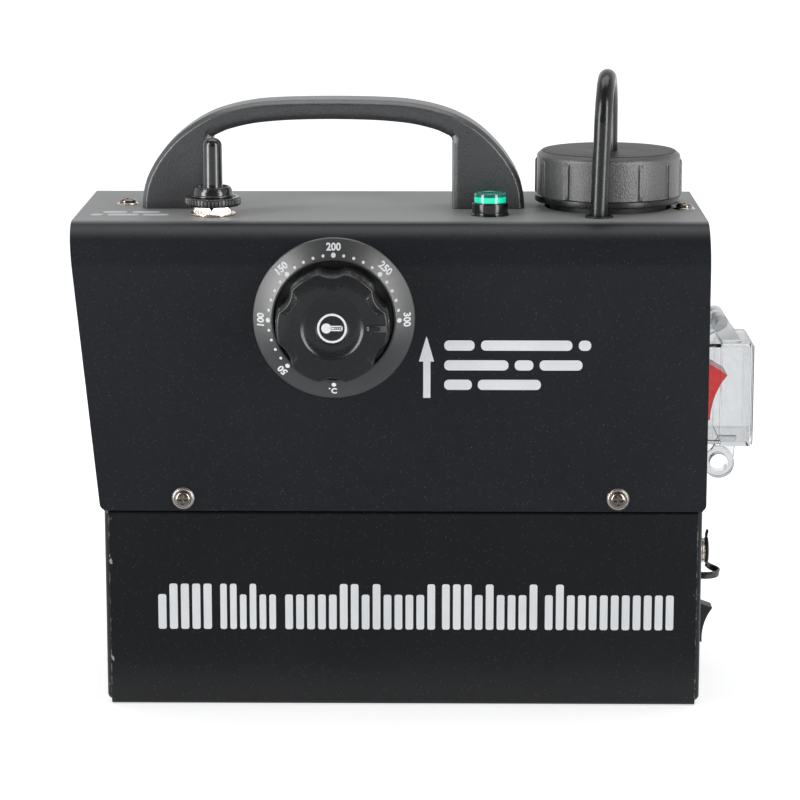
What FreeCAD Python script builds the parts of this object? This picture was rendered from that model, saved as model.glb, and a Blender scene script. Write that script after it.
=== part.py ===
import FreeCAD, Part
import os
import math

# Portable battery fog machine, in millimetres: a battery case below, a fog unit above.
# +X points right to the switch end, -X to the slanted nozzle end, -Y to the front
# (dial side), +Z up.  Origin: centre of the flat underside of the battery case.

os.makedirs("parts", exist_ok=True)
V = FreeCAD.Vector
X_DIR, Y_DIR, Z_DIR = (1, 0, 0), (0, 1, 0), (0, 0, 1)
FRONT = (0, -1, 0)

# ---- driving dimensions ----
SHEET = 1.2                                 # sheet steel thickness
GAP = 0.1                                   # clearance between nested sheets
CASE_X, CASE_Y, CASE_Z = 125.2, 63.8, 84.0  # battery case: half length, half depth, height
CHASSIS_Z = CASE_Z + 0.05                   # underside of the upper chassis
SHELL_Y = CASE_Y + SHEET                    # upper shell half depth
SHELL_RIGHT = CASE_X + SHEET
SHELL_BOTTOM, SHELL_TOP = 84.3, 204.0
SHELL_BEND = 18.5                           # front and rear bend radius of the upper shell
END_SLOPE = 0.0962                          # lean of the nozzle end, mm per mm of height

DIAL_X, DIAL_Z = -28.4, 166.1               # thermostat axis
DIAL_ORIGIN = (DIAL_X, -SHELL_Y, DIAL_Z)
DIAL_SCREWS = (-14, 14)                     # x offsets from the thermostat axis
TOGGLE_X, TOGGLE_Y = -80.4, -29.0
LAMP_X, LAMP_Y = 36.2, -29.0
CAP_X, CAP_Y = 87.4, 0.0                    # tank cap axis
HOSE_X, HOSE_Y = 81.7, -36.0                # hose hole in the shell
FOOT_LEFT, FOOT_RIGHT = (-112.1, -82.2), (20.4, 51.2)   # x spans of the handle feet
HANDLE_SCREWS = (sum(FOOT_RIGHT) / 2, sum(FOOT_LEFT) / 2)
RED_Z, BLACK_Z = 125.5, 21.0                # rocker switch heights
SOCKET_Z = 51.7                             # charge socket height
NOZZLE_Z = 118.0
PUMP_Z = 110.0
STAND_Z = 85.3                              # underside of parts standing in the chassis
HEATER_X0, HEATER_X1 = -110.0, -24.0        # heater block ends

# screws through the battery case, one in each corner: (x, y)
BASE_SCREWS = [(x, y) for x in (-100, 100) for y in (-45, 45)]
JOINT_SCREWS = [(x, y) for x in (-95.0, 95.0) for y in (-57.2, 57.2)]
# screws of the upper shell: (point on the shell, outward axis, washer thickness, head height)
SHELL_SCREWS = [((x, side * SHELL_Y, SHELL_BOTTOM + 5.3), (0, side, 0), 0.8, 2.3)
                for x in (-91.7, 89.6) for side in (-1, 1)]
SHELL_SCREWS += [((x, y, SHELL_TOP), Z_DIR, 0.7, 1.8) for x, y in ((-119.6, 3.6), (119.4, -8.9))]


# ---- helpers ----
def save(name, *shapes):
    """Write one node, made of one or more separate solids."""
    solids = [solid for shape in shapes for solid in shape.removeSplitter().Solids]
    assert solids and all(solid.isValid() and solid.Volume > 0 for solid in solids), name
    node = solids[0] if len(solids) == 1 else Part.makeCompound(solids)
    node.exportStep("parts/%s.step" % name)


def box(x0, x1, y0, y1, z0, z1):
    return Part.makeBox(x1 - x0, y1 - y0, z1 - z0, V(x0, y0, z0))


def cylinder(radius, start, axis, length):
    return Part.makeCylinder(radius, length, V(*start), V(*axis))


def tube(outer, inner, start, axis, length):
    return cylinder(outer, start, axis, length).cut(cylinder(inner, start, axis, length))


def cone(radius0, radius1, height, x=0, y=0, z=0):
    return Part.makeCone(radius0, radius1, height, V(x, y, z))


def shifted(point, axis, distance):
    return V(*point) + V(*axis) * distance


def end_x(z, inset=0.0):
    """x of the slanted left end at height z, moved inwards by inset."""
    return -(SHELL_RIGHT + (z - SHELL_BOTTOM) * END_SLOPE) + inset


def corner_arc(before, corner, after, radius, limit=None):
    """Start, middle and end of the tangent arc that rounds a corner.

    limit caps the trimmed length, as a share of the shorter neighbour."""
    back, ahead = before - corner, after - corner
    shorter = min(back.Length, ahead.Length)
    back.normalize()
    ahead.normalize()
    half = back.getAngle(ahead) / 2
    trim = radius / math.tan(half)
    if limit:
        trim = min(trim, limit * shorter)
        radius = trim * math.tan(half)
    middle = corner + (back + ahead).normalize() * (radius / math.sin(half) - radius)
    return corner + back * trim, middle, corner + ahead * trim


def prism(outline, plane, start, end):
    """Polygon of (u, v[, corner radius]) in a plane, extruded from start to end."""
    place, normal = {
        "XZ": (lambda u, v: V(u, start, v), V(*Y_DIR)),
        "YZ": (lambda u, v: V(start, u, v), V(*X_DIR)),
        "XY": (lambda u, v: V(u, v, start), V(*Z_DIR)),
    }[plane]
    points = [place(*entry[:2]) for entry in outline]
    count = len(points)
    corners = []
    for i, point in enumerate(points):
        if len(outline[i]) > 2:
            corners.append(corner_arc(points[i - 1], point, points[(i + 1) % count],
                                      outline[i][2]))
        else:
            corners.append((point, None, point))
    edges = []
    for i, (first, middle, last) in enumerate(corners):
        if middle is not None:
            edges.append(Part.Arc(first, middle, last).toShape())
        following = corners[(i + 1) % count][0]
        if (following - last).Length > 1e-7:
            edges.append(Part.makeLine(last, following))
    wire = Part.Wire(Part.__sortEdges__(edges))
    return Part.Face(wire).extrude(normal * (end - start))


def hex_prism(radius, height, turn=0):
    angles = [math.radians(60 * k + turn) for k in range(6)]
    return prism([(radius * math.cos(a), radius * math.sin(a)) for a in angles], "XY", 0, height)


def orient(shape, origin, axis):
    """Copy of a shape with its origin moved to origin and its Z turned to axis."""
    turn = FreeCAD.Rotation(V(0, 0, 1), V(*axis))
    shape = shape.copy()
    shape.Placement = FreeCAD.Placement(V(*origin), turn).multiply(shape.Placement)
    return shape


def revolve(profile, origin, axis):
    """Closed (radius, height) profile turned about an axis; height runs along it."""
    points = [V(radius, 0, height) for radius, height in profile]
    face = Part.Face(Part.makePolygon(points + points[:1]))
    return orient(face.revolve(V(0, 0, 0), V(0, 0, 1), 360), origin, axis)


def parallel(edge, axis):
    if edge.Curve.TypeId != "Part::GeomLine":
        return False
    return abs(abs(edge.tangentAt(edge.FirstParameter).dot(V(*axis))) - 1) < 1e-3


def along_x(edge):
    return parallel(edge, X_DIR)


def along_y(edge):
    return parallel(edge, Y_DIR)


def along_z(edge):
    return parallel(edge, Z_DIR)


def fillet(shape, radius, pick):
    """Fillet the edges that pick accepts."""
    edges = [edge for edge in shape.Edges if pick(edge)]
    return shape.makeFillet(radius, edges) if edges else shape


def pipe(path, radius, bore=0.0, bend=14.0):
    """Round bar or tube along (x, y, z[, bend radius]) points.

    Default bends shrink to fit short runs; bends given in the path do not."""
    points = [V(*entry[:3]) for entry in path]
    edges, last = [], points[0]
    for i in range(1, len(points) - 1):
        given = len(path[i]) > 3
        first, middle, end = corner_arc(points[i - 1], points[i], points[i + 1],
                                        path[i][3] if given else bend,
                                        None if given else 0.48)
        if (first - last).Length > 1e-6:
            edges.append(Part.makeLine(last, first))
        edges.append(Part.Arc(first, middle, end).toShape())
        last = end
    edges.append(Part.makeLine(last, points[-1]))
    spine = Part.Wire(edges)

    def sweep(section_radius):
        circle = Part.Circle(points[0], points[1] - points[0], section_radius)
        return spine.makePipeShell([Part.Wire([circle.toShape()])], True, False)

    return sweep(radius).cut(sweep(bore)) if bore > 0 else sweep(radius)


def pan_screw(seat, axis, shank, radius=1.5, head_radius=3.5, head_height=2.3):
    """Cross-recess pan-head screw, head seated at seat and facing along axis."""
    # head outline as fractions: (of the head radius, of the head height)
    outline = [(0, 0), (1, 0), (1, .42), (.93, .66), (.74, .86), (.42, .98), (0, 1)]
    screw = revolve([(r * head_radius, h * head_height) for r, h in outline], (0, 0, 0), Z_DIR)
    for x, y in ((2.1, .42), (.42, 2.1)):
        screw = screw.cut(box(-x, x, -y, y, head_height * .42, head_height + 1))
    screw = screw.fuse(cylinder(radius, (0, 0, -shank), Z_DIR, shank))
    return orient(screw, seat, axis)


# ===========================================================================
# Battery case
# ===========================================================================
def countersink(x, y):
    return cone(3.1, 1.7, 1.5, x, y)


def battery_case_wrap():
    """Sheet folded into floor, front and rear walls and two inturned top lips."""
    lip_y = 52
    wall_y, lip_z = CASE_Y - SHEET, CASE_Z - SHEET
    wrap = prism([(-CASE_Y, 0, 2.0), (CASE_Y, 0, 2.0), (CASE_Y, CASE_Z, 1.8), (lip_y, CASE_Z),
                  (lip_y, lip_z), (wall_y, lip_z, 0.6), (wall_y, SHEET, 0.8),
                  (-wall_y, SHEET, 0.8), (-wall_y, lip_z, 0.6), (-lip_y, lip_z),
                  (-lip_y, CASE_Z), (-CASE_Y, CASE_Z, 1.8)],
                 "YZ", -CASE_X + 2.0, CASE_X - 2.0)
    for x, y in BASE_SCREWS:
        wrap = wrap.cut(countersink(x, y))
        wrap = wrap.cut(cylinder(1.72, (x, y, -1), Z_DIR, 4))
    for x, y in JOINT_SCREWS:
        wrap = wrap.cut(cylinder(1.55, (x, y, CASE_Z - 4), Z_DIR, 8))
    save("battery_case_wrap", wrap)


def battery_case_tray():
    """Floor with the left and right end walls, inside the wrap."""
    half_y = CASE_Y - SHEET - GAP
    floor_z = SHEET + 0.05
    tray = box(-CASE_X, CASE_X, -half_y, half_y, floor_z, CASE_Z - 0.1)
    tray = fillet(tray, 2.5, lambda edge: along_z(edge) or edge.CenterOfMass.z < 10)
    inner = box(-CASE_X + SHEET, CASE_X - SHEET, -half_y + SHEET, half_y - SHEET,
                floor_z + SHEET, CASE_Z + 5)
    tray = tray.cut(fillet(inner, 1.3, along_z))
    tray = tray.cut(box(-113, 113, -100, 100, floor_z + SHEET + 0.01, 100))
    tray = tray.cut(box(-CASE_X + 1.9, CASE_X - 1.9, -100, 100, CASE_Z - SHEET - 0.5, 100))
    # charge socket and black rocker openings
    tray = tray.cut(cylinder(5.6, (CASE_X - 5, 0, SOCKET_Z), X_DIR, 10))
    tray = tray.cut(box(CASE_X - 5, CASE_X + 5, -6.6, 6.6, BLACK_Z - 10.6, BLACK_Z + 10.6))
    for x, y in BASE_SCREWS:
        tray = tray.cut(cylinder(1.55, (x, y, 1), Z_DIR, 4)).cut(countersink(x, y))
    save("battery_case_tray", tray)


def case_screws_below():
    """Countersunk screws in the floor and pan screws joining case and chassis."""
    screws = []
    for x, y in BASE_SCREWS:
        screw = cone(3.0, 1.5, 1.55, x, y, 0.02).fuse(cylinder(1.5, (x, y, 1.5), Z_DIR, 5))
        for dx, dy in ((1.7, .35), (.35, 1.7)):
            screw = screw.cut(box(x - dx, x + dx, y - dy, y + dy, -1, .9))
        screws.append(screw)
    save("base_screws", *screws)
    save("case_joining_screws",
         *[pan_screw((x, y, CHASSIS_Z + SHEET), Z_DIR, 6, head_radius=3.2, head_height=2.2)
           for x, y in JOINT_SCREWS])


def battery_pack():
    """Two rows of seven round cells between a lower and an upper holder."""
    pitch, row_y = 20.0, 9.9
    cells = []
    lower = box(-72, 72, -21, 21, 2.6, 12.0)
    upper = box(-72, 72, -21, 21, 66.0, 76.0)
    for i in range(7):
        for side in (-1, 1):
            x, y = (i - 3) * pitch, side * row_y
            cells.append(cylinder(9.15, (x, y, 6.0), Z_DIR, 65.0))
            lower = lower.cut(cylinder(9.25, (x, y, 5.9), Z_DIR, 20))
            upper = upper.cut(cylinder(9.25, (x, y, 60.0), Z_DIR, 11.1))
    save("battery_cells", *cells)
    save("battery_holders", lower, upper)
    save("battery_monitor_board", box(-60, 60, 24.0, 25.6, 12, 60),
         *[box(x, x + 12, 25.6, 30, 20, 32) for x in (-50, -20, 10)])


def charge_socket():
    """Grooved flanged barrel with a centre pin, and its nut behind the panel."""
    outer, bore = 5.5, 3.9
    socket = tube(outer, bore, (CASE_X - 8, 0, SOCKET_Z), X_DIR, 14.6)
    socket = socket.fuse(cylinder(outer, (CASE_X - 12, 0, SOCKET_Z), X_DIR, 8))
    flange = cylinder(7.6, (CASE_X, 0, SOCKET_Z), X_DIR, 1.4)
    socket = socket.fuse(flange.cut(cylinder(bore, (CASE_X - 2, 0, SOCKET_Z), X_DIR, 9)))
    socket = socket.fuse(cylinder(0.9, (CASE_X - 5, 0, SOCKET_Z), X_DIR, 5.5))
    for k in range(5):
        groove_x = CASE_X + 2.2 + k * 0.95
        socket = socket.cut(tube(6.5, 5.1, (groove_x, 0, SOCKET_Z), X_DIR, 0.45))
    save("charge_socket", socket)
    nut = hex_prism(8.1, 2.4).cut(cylinder(5.6, (0, 0, -1), Z_DIR, 5))
    save("charge_socket_nut", orient(nut, (CASE_X - SHEET - 2.5, 0, SOCKET_Z), X_DIR))


def dust_cap():
    """Disc with a short plug and tabs above and below, and a strap looped sideways."""
    x, z = CASE_X + 6.8, SOCKET_Z
    cap = cylinder(6.0, (x, 0, z), X_DIR, 1.4).fuse(cylinder(2.6, (x - 1.6, 0, z), X_DIR, 1.6))
    cap = cap.cut(cylinder(1.3, (x - 3, 0, z), X_DIR, 3.2))
    cap = cap.fuse(box(x, x + 1.0, -1.6, 1.6, z + 5.5, z + 8.0))
    cap = cap.fuse(box(x + .2, x + 1.2, -2.6, 2.6, z - 7.4, z - 5.2))
    save("dust_cap", cap)
    # strap in plan: (x from the case end, y[, corner radius])
    loop = [(0.1, -3.2), (6.3, -4.8), (11.3, -4.4, 3.0), (13.8, -1.2, 3.0), (13.0, 2.6, 2.5),
            (7.4, 3.8), (7.3, 2.8), (12.0, 1.8, 1.6), (12.8, -1.0, 2.0), (10.8, -3.5, 2.0),
            (6.4, -3.8), (0.1, -2.2)]
    save("dust_cap_strap", prism([(CASE_X + entry[0],) + entry[1:] for entry in loop],
                                 "XY", 39.9, 43.4))


# ===========================================================================
# Rocker switches and the clear guard over the red one
# ===========================================================================
COVER_FACE = CASE_X + 2.6                  # face of the guard's base plate
HINGE_X, HINGE_Z = 135.3, 154.9
EYELET_X, EYELET_Z = 137.1, 91.6
LID_X, LID_Z0, LID_Z1 = 136.2, 102.2, 147.2   # the lid meets the base rim here
RED_PIVOT_X, BLACK_PIVOT_X = 125.6, 125.0


def rocker(x, z, tip, shoulder, half_width, reach, dip, tilt, root):
    """Rocker on a pivot at (x, z), with a concave face, tilted so its top stands out."""
    outline = [(root, -shoulder * .6), (1.0, -shoulder), (reach, -tip)]
    for k in range(1, 12):
        height = -tip + 2 * tip * k / 12
        outline.append((reach - dip * (1 - (height / tip) ** 2), height))
    outline += [(reach, tip), (1.0, shoulder), (root, shoulder * .6)]
    body = prism(outline, "XZ", -half_width, half_width)
    body = body.fuse(cylinder(1.5, (0, -half_width - 1.6, 0), Y_DIR, 2 * half_width + 3.2))
    body.rotate(V(0, 0, 0), V(0, 1, 0), tilt)
    body.translate(V(x, 0, z))
    return body


def rocker_housing(face, z, flange, lip, body, depth, window, pivot_x):
    """Bezel on the panel, body behind it, window, pivot bores and three terminals.

    flange, body and window are (half depth in y, half height in z)."""
    (flange_y, flange_z), (body_y, body_z), (window_y, window_z) = flange, body, window
    back = face - depth
    housing = fillet(box(face, face + lip, -flange_y, flange_y, z - flange_z, z + flange_z),
                     1.0, along_x)
    housing = housing.fuse(box(back, face, -body_y, body_y, z - body_z, z + body_z))
    housing = housing.cut(box(back + 6, face + lip + 1, -window_y, window_y,
                              z - window_z, z + window_z))
    housing = housing.cut(cylinder(1.56, (pivot_x, -window_y - 1.75, z), Y_DIR,
                                   2 * window_y + 3.5))
    for k in (-1, 0, 1):
        middle = z + k * body_z * .6
        housing = housing.fuse(box(back - 7, back, -3.0, 3.0, middle - .4, middle + .4))
    return housing


def rocker_switches():
    save("red_switch_housing", rocker_housing(
        COVER_FACE, RED_Z, flange=(12.6, 17.2), lip=2.2, body=(11.6, 14.8), depth=27.0,
        window=(9.3, 13.9), pivot_x=RED_PIVOT_X))
    save("red_rocker", rocker(
        RED_PIVOT_X, RED_Z, tip=10.6, shoulder=12.7, half_width=9.1, reach=11.0, dip=1.8,
        tilt=20.0, root=-4.0))
    save("black_switch_housing", rocker_housing(
        CASE_X, BLACK_Z, flange=(8.0, 11.6), lip=1.9, body=(6.5, 10.5), depth=22.0,
        window=(4.6, 9.8), pivot_x=BLACK_PIVOT_X))
    save("black_rocker", rocker(
        BLACK_PIVOT_X, BLACK_Z, tip=8.2, shoulder=8.7, half_width=4.4, reach=8.8, dip=1.5,
        tilt=16.0, root=-3.4))


def switch_cover_base():
    """Plate with a raised rim, two hinge ears above and an eyelet below."""
    face = COVER_FACE
    base = fillet(box(CASE_X, face, -17.0, 17.0, 99.5, 151.5), 2.0, along_x)
    base = base.cut(box(CASE_X - 1, face + 1, -11.8, 11.8, RED_Z - 15.0, RED_Z + 15.0))
    rim = fillet(box(face - 1.0, LID_X - 0.3, -17.0, 17.0, LID_Z0 + 0.6, LID_Z1 - 0.6),
                 1.5, along_x)
    base = base.fuse(rim.cut(box(face - 2, LID_X + 1, -15.4, 15.4, LID_Z0 + 2.2, LID_Z1 - 2.2)))
    for y0, y1 in ((-7.8, -3.2), (3.2, 7.8)):
        ear = cylinder(3.6, (HINGE_X, y0, HINGE_Z), Y_DIR, y1 - y0)
        ear = ear.fuse(prism([(CASE_X, 148.0), (face, 146.8), (HINGE_X + 2.3, HINGE_Z - 2.6),
                              (HINGE_X - 1.2, HINGE_Z + 3.35), (CASE_X, 153.2)], "XZ", y0, y1))
        base = base.fuse(ear)
    base = base.cut(cylinder(1.2, (HINGE_X, -10, HINGE_Z), Y_DIR, 20))
    eyelet = cylinder(6.7, (EYELET_X, 0.3, EYELET_Z), Y_DIR, 3.2)
    eyelet = eyelet.fuse(prism([(CASE_X, 100.5), (CASE_X, 88.5), (EYELET_X - 3, EYELET_Z - 6.0),
                                (EYELET_X + 4, EYELET_Z + 4), (face, 102.5)], "XZ", 0.3, 3.5))
    base = base.fuse(eyelet).cut(cylinder(3.9, (EYELET_X, -1, EYELET_Z), Y_DIR, 8))
    save("switch_cover_base", base.cut(box(CASE_X - 20, CASE_X, -40, 40, 80, 160)))


def switch_cover_lid():
    """Hollow lid with two hinge knuckles above and an eyelet below."""
    hollow = box(COVER_FACE - 5, 148.5, -16.3, 16.3, LID_Z0 + 1.7, LID_Z1 - 1.7)
    lid = box(LID_X, 150.2, -18.0, 18.0, LID_Z0, LID_Z1)
    lid = fillet(lid, 2.0, lambda edge: edge.CenterOfMass.x > 149
                 and (along_y(edge) or along_z(edge)))
    lid = lid.cut(hollow)
    for y0, y1 in ((-12.6, -8.0), (8.0, 12.6)):
        knuckle = cylinder(3.7, (HINGE_X, y0, HINGE_Z), Y_DIR, y1 - y0)
        knuckle = knuckle.fuse(prism([
            (HINGE_X - 2.2, HINGE_Z - 2.9), (LID_X + 0.2, LID_Z1 + 0.6),
            (LID_X + 0.2, LID_Z1 - 1.4), (HINGE_X + 9.6, LID_Z1 - 1.4),
            (HINGE_X + 9.6, LID_Z1 - 0.1), (HINGE_X + 2.6, HINGE_Z + 2.5)], "XZ", y0, y1))
        lid = lid.fuse(knuckle)
    lid = lid.cut(cylinder(1.26, (HINGE_X, -20, HINGE_Z), Y_DIR, 40))
    eyelet = cylinder(6.7, (EYELET_X, -3.5, EYELET_Z), Y_DIR, 3.2)
    eyelet = eyelet.fuse(prism([
        (EYELET_X - 4.5, EYELET_Z + 3.5), (LID_X + 0.1, LID_Z0 - 0.6), (LID_X + 0.1, LID_Z0 + 1.4),
        (EYELET_X + 7.2, LID_Z0 + 1.4), (EYELET_X + 7.2, LID_Z0 - 0.6),
        (EYELET_X + 6.3, EYELET_Z + 2.4), (EYELET_X, EYELET_Z)], "XZ", -3.5, -0.3))
    lid = lid.fuse(eyelet.cut(cylinder(3.9, (EYELET_X, -6, EYELET_Z), Y_DIR, 8)))
    # clear the hollow again where knuckles and eyelet reach into it
    save("switch_cover_lid", lid.cut(hollow))


def cover_hinge_pin():
    """Pin, very slightly thinner between the lid's knuckles."""
    relief = tube(3, 1.195, (HINGE_X, -7.8, HINGE_Z), Y_DIR, 15.6)
    save("cover_hinge_pin", cylinder(1.2, (HINGE_X, -12.4, HINGE_Z), Y_DIR, 24.8)
         .cut(Part.makeCompound([relief])))


# ===========================================================================
# Upper fog unit: folded chassis, outer shell, screws
# ===========================================================================
def beyond_end(inset=0.0):
    """Everything left of the slanted end, moved inwards by inset."""
    return prism([(-200, 60), (end_x(60, inset), 60), (end_x(240, inset), 240), (-200, 240)],
                 "XZ", -100, 100)


def upper_chassis():
    """Floor and both end walls with narrow flanges, just inside the shell."""
    half_y, top = SHELL_Y - SHEET - GAP, SHELL_TOP - SHEET - GAP
    bend, inner_bend = SHELL_BEND - SHEET - GAP, SHELL_BEND - 2 * SHEET
    chassis = prism([(-half_y, CHASSIS_Z), (-half_y, top, bend), (half_y, top, bend),
                     (half_y, CHASSIS_Z)], "YZ", -150, CASE_X)
    half_y, top = half_y - SHEET, top - SHEET
    inner = prism([(-half_y, CHASSIS_Z + SHEET), (-half_y, top, inner_bend),
                   (half_y, top, inner_bend), (half_y, CHASSIS_Z + SHEET)],
                  "YZ", -150, CASE_X - SHEET)
    chassis = chassis.cut(beyond_end(SHEET))
    chassis = chassis.cut(inner.cut(beyond_end(2 * SHEET)))
    chassis = chassis.cut(box(-112, 111, -80, 80, 99, 220))
    chassis = chassis.cut(box(CASE_X - 5, CASE_X + 5, -11.9, 11.9, RED_Z - 15.1, RED_Z + 15.1))
    # nozzle, tank cap and wiring holes
    chassis = chassis.cut(cylinder(11.2, (-140, 0, NOZZLE_Z), X_DIR, 30))
    chassis = chassis.cut(cylinder(27.2, (CAP_X, CAP_Y, SHELL_TOP - 10), Z_DIR, 20))
    chassis = chassis.cut(cylinder(9, (104, 44, CHASSIS_Z - 1), Z_DIR, 4))
    for x, y in JOINT_SCREWS:
        chassis = chassis.cut(cylinder(1.72, (x, y, CHASSIS_Z - 2), Z_DIR, 6))
    for point, axis, _, _ in SHELL_SCREWS:
        chassis = chassis.cut(cylinder(1.55, shifted(point, axis, -6), axis, 8))
    save("upper_chassis", chassis)


def upper_shell():
    """Sheet folded over front, top and rear, cut to the slanted end and drilled."""
    inner_y, inner_top, bend = SHELL_Y - SHEET, SHELL_TOP - SHEET, SHELL_BEND - SHEET
    shell = prism([(-SHELL_Y, SHELL_BOTTOM), (-SHELL_Y, SHELL_TOP, SHELL_BEND),
                   (SHELL_Y, SHELL_TOP, SHELL_BEND), (SHELL_Y, SHELL_BOTTOM),
                   (inner_y, SHELL_BOTTOM), (inner_y, inner_top, bend),
                   (-inner_y, inner_top, bend), (-inner_y, SHELL_BOTTOM)],
                  "YZ", -150, SHELL_RIGHT)
    shell = shell.cut(beyond_end())
    shell = fillet(shell, 3.0, lambda edge: along_y(edge) and edge.Length < 2
                   and edge.CenterOfMass.z < SHELL_BOTTOM + 1)
    for point, axis, _, _ in SHELL_SCREWS:
        shell = shell.cut(cylinder(2.1, shifted(point, axis, -4), axis, 8))
    front_holes = [(5.4, 0)] + [(2.1, dx) for dx in DIAL_SCREWS]
    for radius, dx in front_holes:
        shell = shell.cut(cylinder(radius, (DIAL_X + dx, -SHELL_Y - 5, DIAL_Z), Y_DIR, 10))
    top_holes = [(6.2, TOGGLE_X, TOGGLE_Y), (6.4, LAMP_X, LAMP_Y), (27.2, CAP_X, CAP_Y),
                 (5.0, HOSE_X, HOSE_Y)] + [(2.7, x, 0) for x in HANDLE_SCREWS]
    for radius, x, y in top_holes:
        shell = shell.cut(cylinder(radius, (x, y, SHELL_TOP - 5), Z_DIR, 10))
    save("upper_shell", shell)


def shell_screws():
    """Shell screws with tapered washers, and the two screws of the dial bezel."""
    screws, washers = [], []
    for point, axis, thickness, head_height in SHELL_SCREWS:
        screws.append(pan_screw(shifted(point, axis, thickness), axis, 8,
                                head_height=head_height))
        washer = cone(4.8, 4.1, thickness).cut(cylinder(1.8, (0, 0, -1), Z_DIR, 3))
        washers.append(orient(washer, point, axis))
    save("screw_washers", *washers)
    screws += [pan_screw((DIAL_X + dx, -SHELL_Y - 0.02, DIAL_Z), FRONT, 3.6,
                         head_radius=3.3, head_height=1.7) for dx in DIAL_SCREWS]
    save("case_screws", *screws)


# ===========================================================================
# Carry handle
# ===========================================================================
HANDLE_Y = 11.5                             # half width
# arch from the left foot over to the right foot: (x, z)
HANDLE_OUTER = [
    (FOOT_LEFT[0], SHELL_TOP), (-111.6, 210.3), (-109.6, 217.6), (-104.9, 226.0),
    (-98.6, 233.4), (-91.7, 239.0), (-85.5, 242.8), (-79.0, 245.6), (-69.0, 248.2),
    (-56.0, 249.8), (-30.4, 250.4), (-4.8, 249.8), (8.2, 248.2), (18.2, 245.6), (24.8, 242.8),
    (31.1, 239.0), (37.6, 233.4), (43.9, 226.0), (48.8, 217.6), (50.8, 210.3),
    (FOOT_RIGHT[1], SHELL_TOP)]
# underside of the grip, right to left: (x, z)
HANDLE_INNER = [
    (17.3, 236.0), (12.8, 237.8), (4.8, 239.8), (-3.1, 240.9), (-14.5, 241.7), (-30.9, 242.0),
    (-47.3, 241.7), (-58.7, 240.9), (-66.6, 239.8), (-74.6, 237.8), (-79.1, 236.0)]


def carry_handle():
    def place(points):
        return [V(x, -HANDLE_Y, z) for x, z in points]

    def spline(points):
        curve = Part.BSplineCurve()
        curve.interpolate(place(points))
        return curve.toShape()

    def line(*points):
        return Part.makeLine(*place(points))

    def arc(*points):
        return Part.Arc(*place(points)).toShape()

    right_x, left_x = FOOT_RIGHT[0], FOOT_LEFT[1]
    leg_z = 233.2                           # top of the straight inner sides
    outline = Part.Wire([
        spline(HANDLE_OUTER),
        line(HANDLE_OUTER[-1], (right_x, SHELL_TOP)),
        line((right_x, SHELL_TOP), (right_x, leg_z)),
        arc((right_x, leg_z), (19.6, 234.9), HANDLE_INNER[0]),
        spline(HANDLE_INNER),
        arc(HANDLE_INNER[-1], (-81.4, 234.9), (left_x, leg_z)),
        line((left_x, leg_z), (left_x, SHELL_TOP)),
        line((left_x, SHELL_TOP), HANDLE_OUTER[0])])
    handle = Part.Face(outline).extrude(V(0, 2 * HANDLE_Y, 0))
    # round the two long edges of the outer arch
    handle = fillet(handle, 2.2, lambda edge: edge.Curve.TypeId == "Part::GeomBSplineCurve"
                    and edge.CenterOfMass.z > 222 and edge.Length > 200)
    screws = []
    for x in HANDLE_SCREWS:
        handle = handle.cut(cylinder(2.05, (x, 0, SHELL_TOP - 1), Z_DIR, 14))
        seat = (x, 0, SHELL_TOP - SHEET - 1.3)
        screw = pan_screw(seat, (0, 0, -1), 13, radius=2.0, head_radius=4.2, head_height=2.6)
        screws.append(screw.fuse(tube(6.0, 2.0, seat, Z_DIR, 1.2)))
    save("carry_handle", handle)
    save("handle_screws", *screws)


# ===========================================================================
# Thermostat on the front: profiles are (radius, distance out from the shell)
# ===========================================================================
def dial_bezel():
    bezel = revolve([(5.4, 0), (33.5, 0), (33.5, 0.8), (33.2, 1.3), (29.6, 4.0), (25.9, 6.3),
                     (25.3, 6.5), (24.8, 6.0), (24.6, 2.0), (5.4, 2.0)], DIAL_ORIGIN, FRONT)
    for dx in DIAL_SCREWS:
        bezel = bezel.cut(cylinder(4.3, (DIAL_X + dx, -SHELL_Y, DIAL_Z), FRONT, 4))
    save("dial_bezel", bezel)


def thermostat_body():
    x, z = DIAL_X, DIAL_Z
    panel = -SHELL_Y + SHEET                # inner face of the shell's front
    body = box(x - 21, x + 21, panel + .05, panel + 2.0, z - 15, z + 15)
    body = body.fuse(cylinder(17.0, (x, panel + 2.0, z), Y_DIR, 24))
    body = body.fuse(box(x - 9, x + 9, panel + 26, panel + 29, z - 9, z + 9))
    for dx in (-7, 7):
        body = body.fuse(box(x + dx - .4, x + dx + .4, panel + 29, panel + 36, z - 3.2, z + 3.2))
    body = body.cut(cylinder(3.07, (x, -SHELL_Y, z), Y_DIR, 16))
    for dx in DIAL_SCREWS:
        body = body.cut(cylinder(1.55, (x + dx, -SHELL_Y, z), Y_DIR, 6))
    save("thermostat_body", body)


def shaft_flat(y_end, dz):
    """Block that flattens the top of the shaft or of its bore."""
    return box(DIAL_X - 4, DIAL_X + 4, -SHELL_Y - 20, y_end, DIAL_Z + dz, DIAL_Z + 4)


def thermostat_shaft():
    shaft = cylinder(3.0, (DIAL_X, -SHELL_Y + 15.0, DIAL_Z), FRONT, 34.0)
    save("thermostat_shaft", shaft.cut(shaft_flat(-SHELL_Y - 7, 1.6)))


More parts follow.
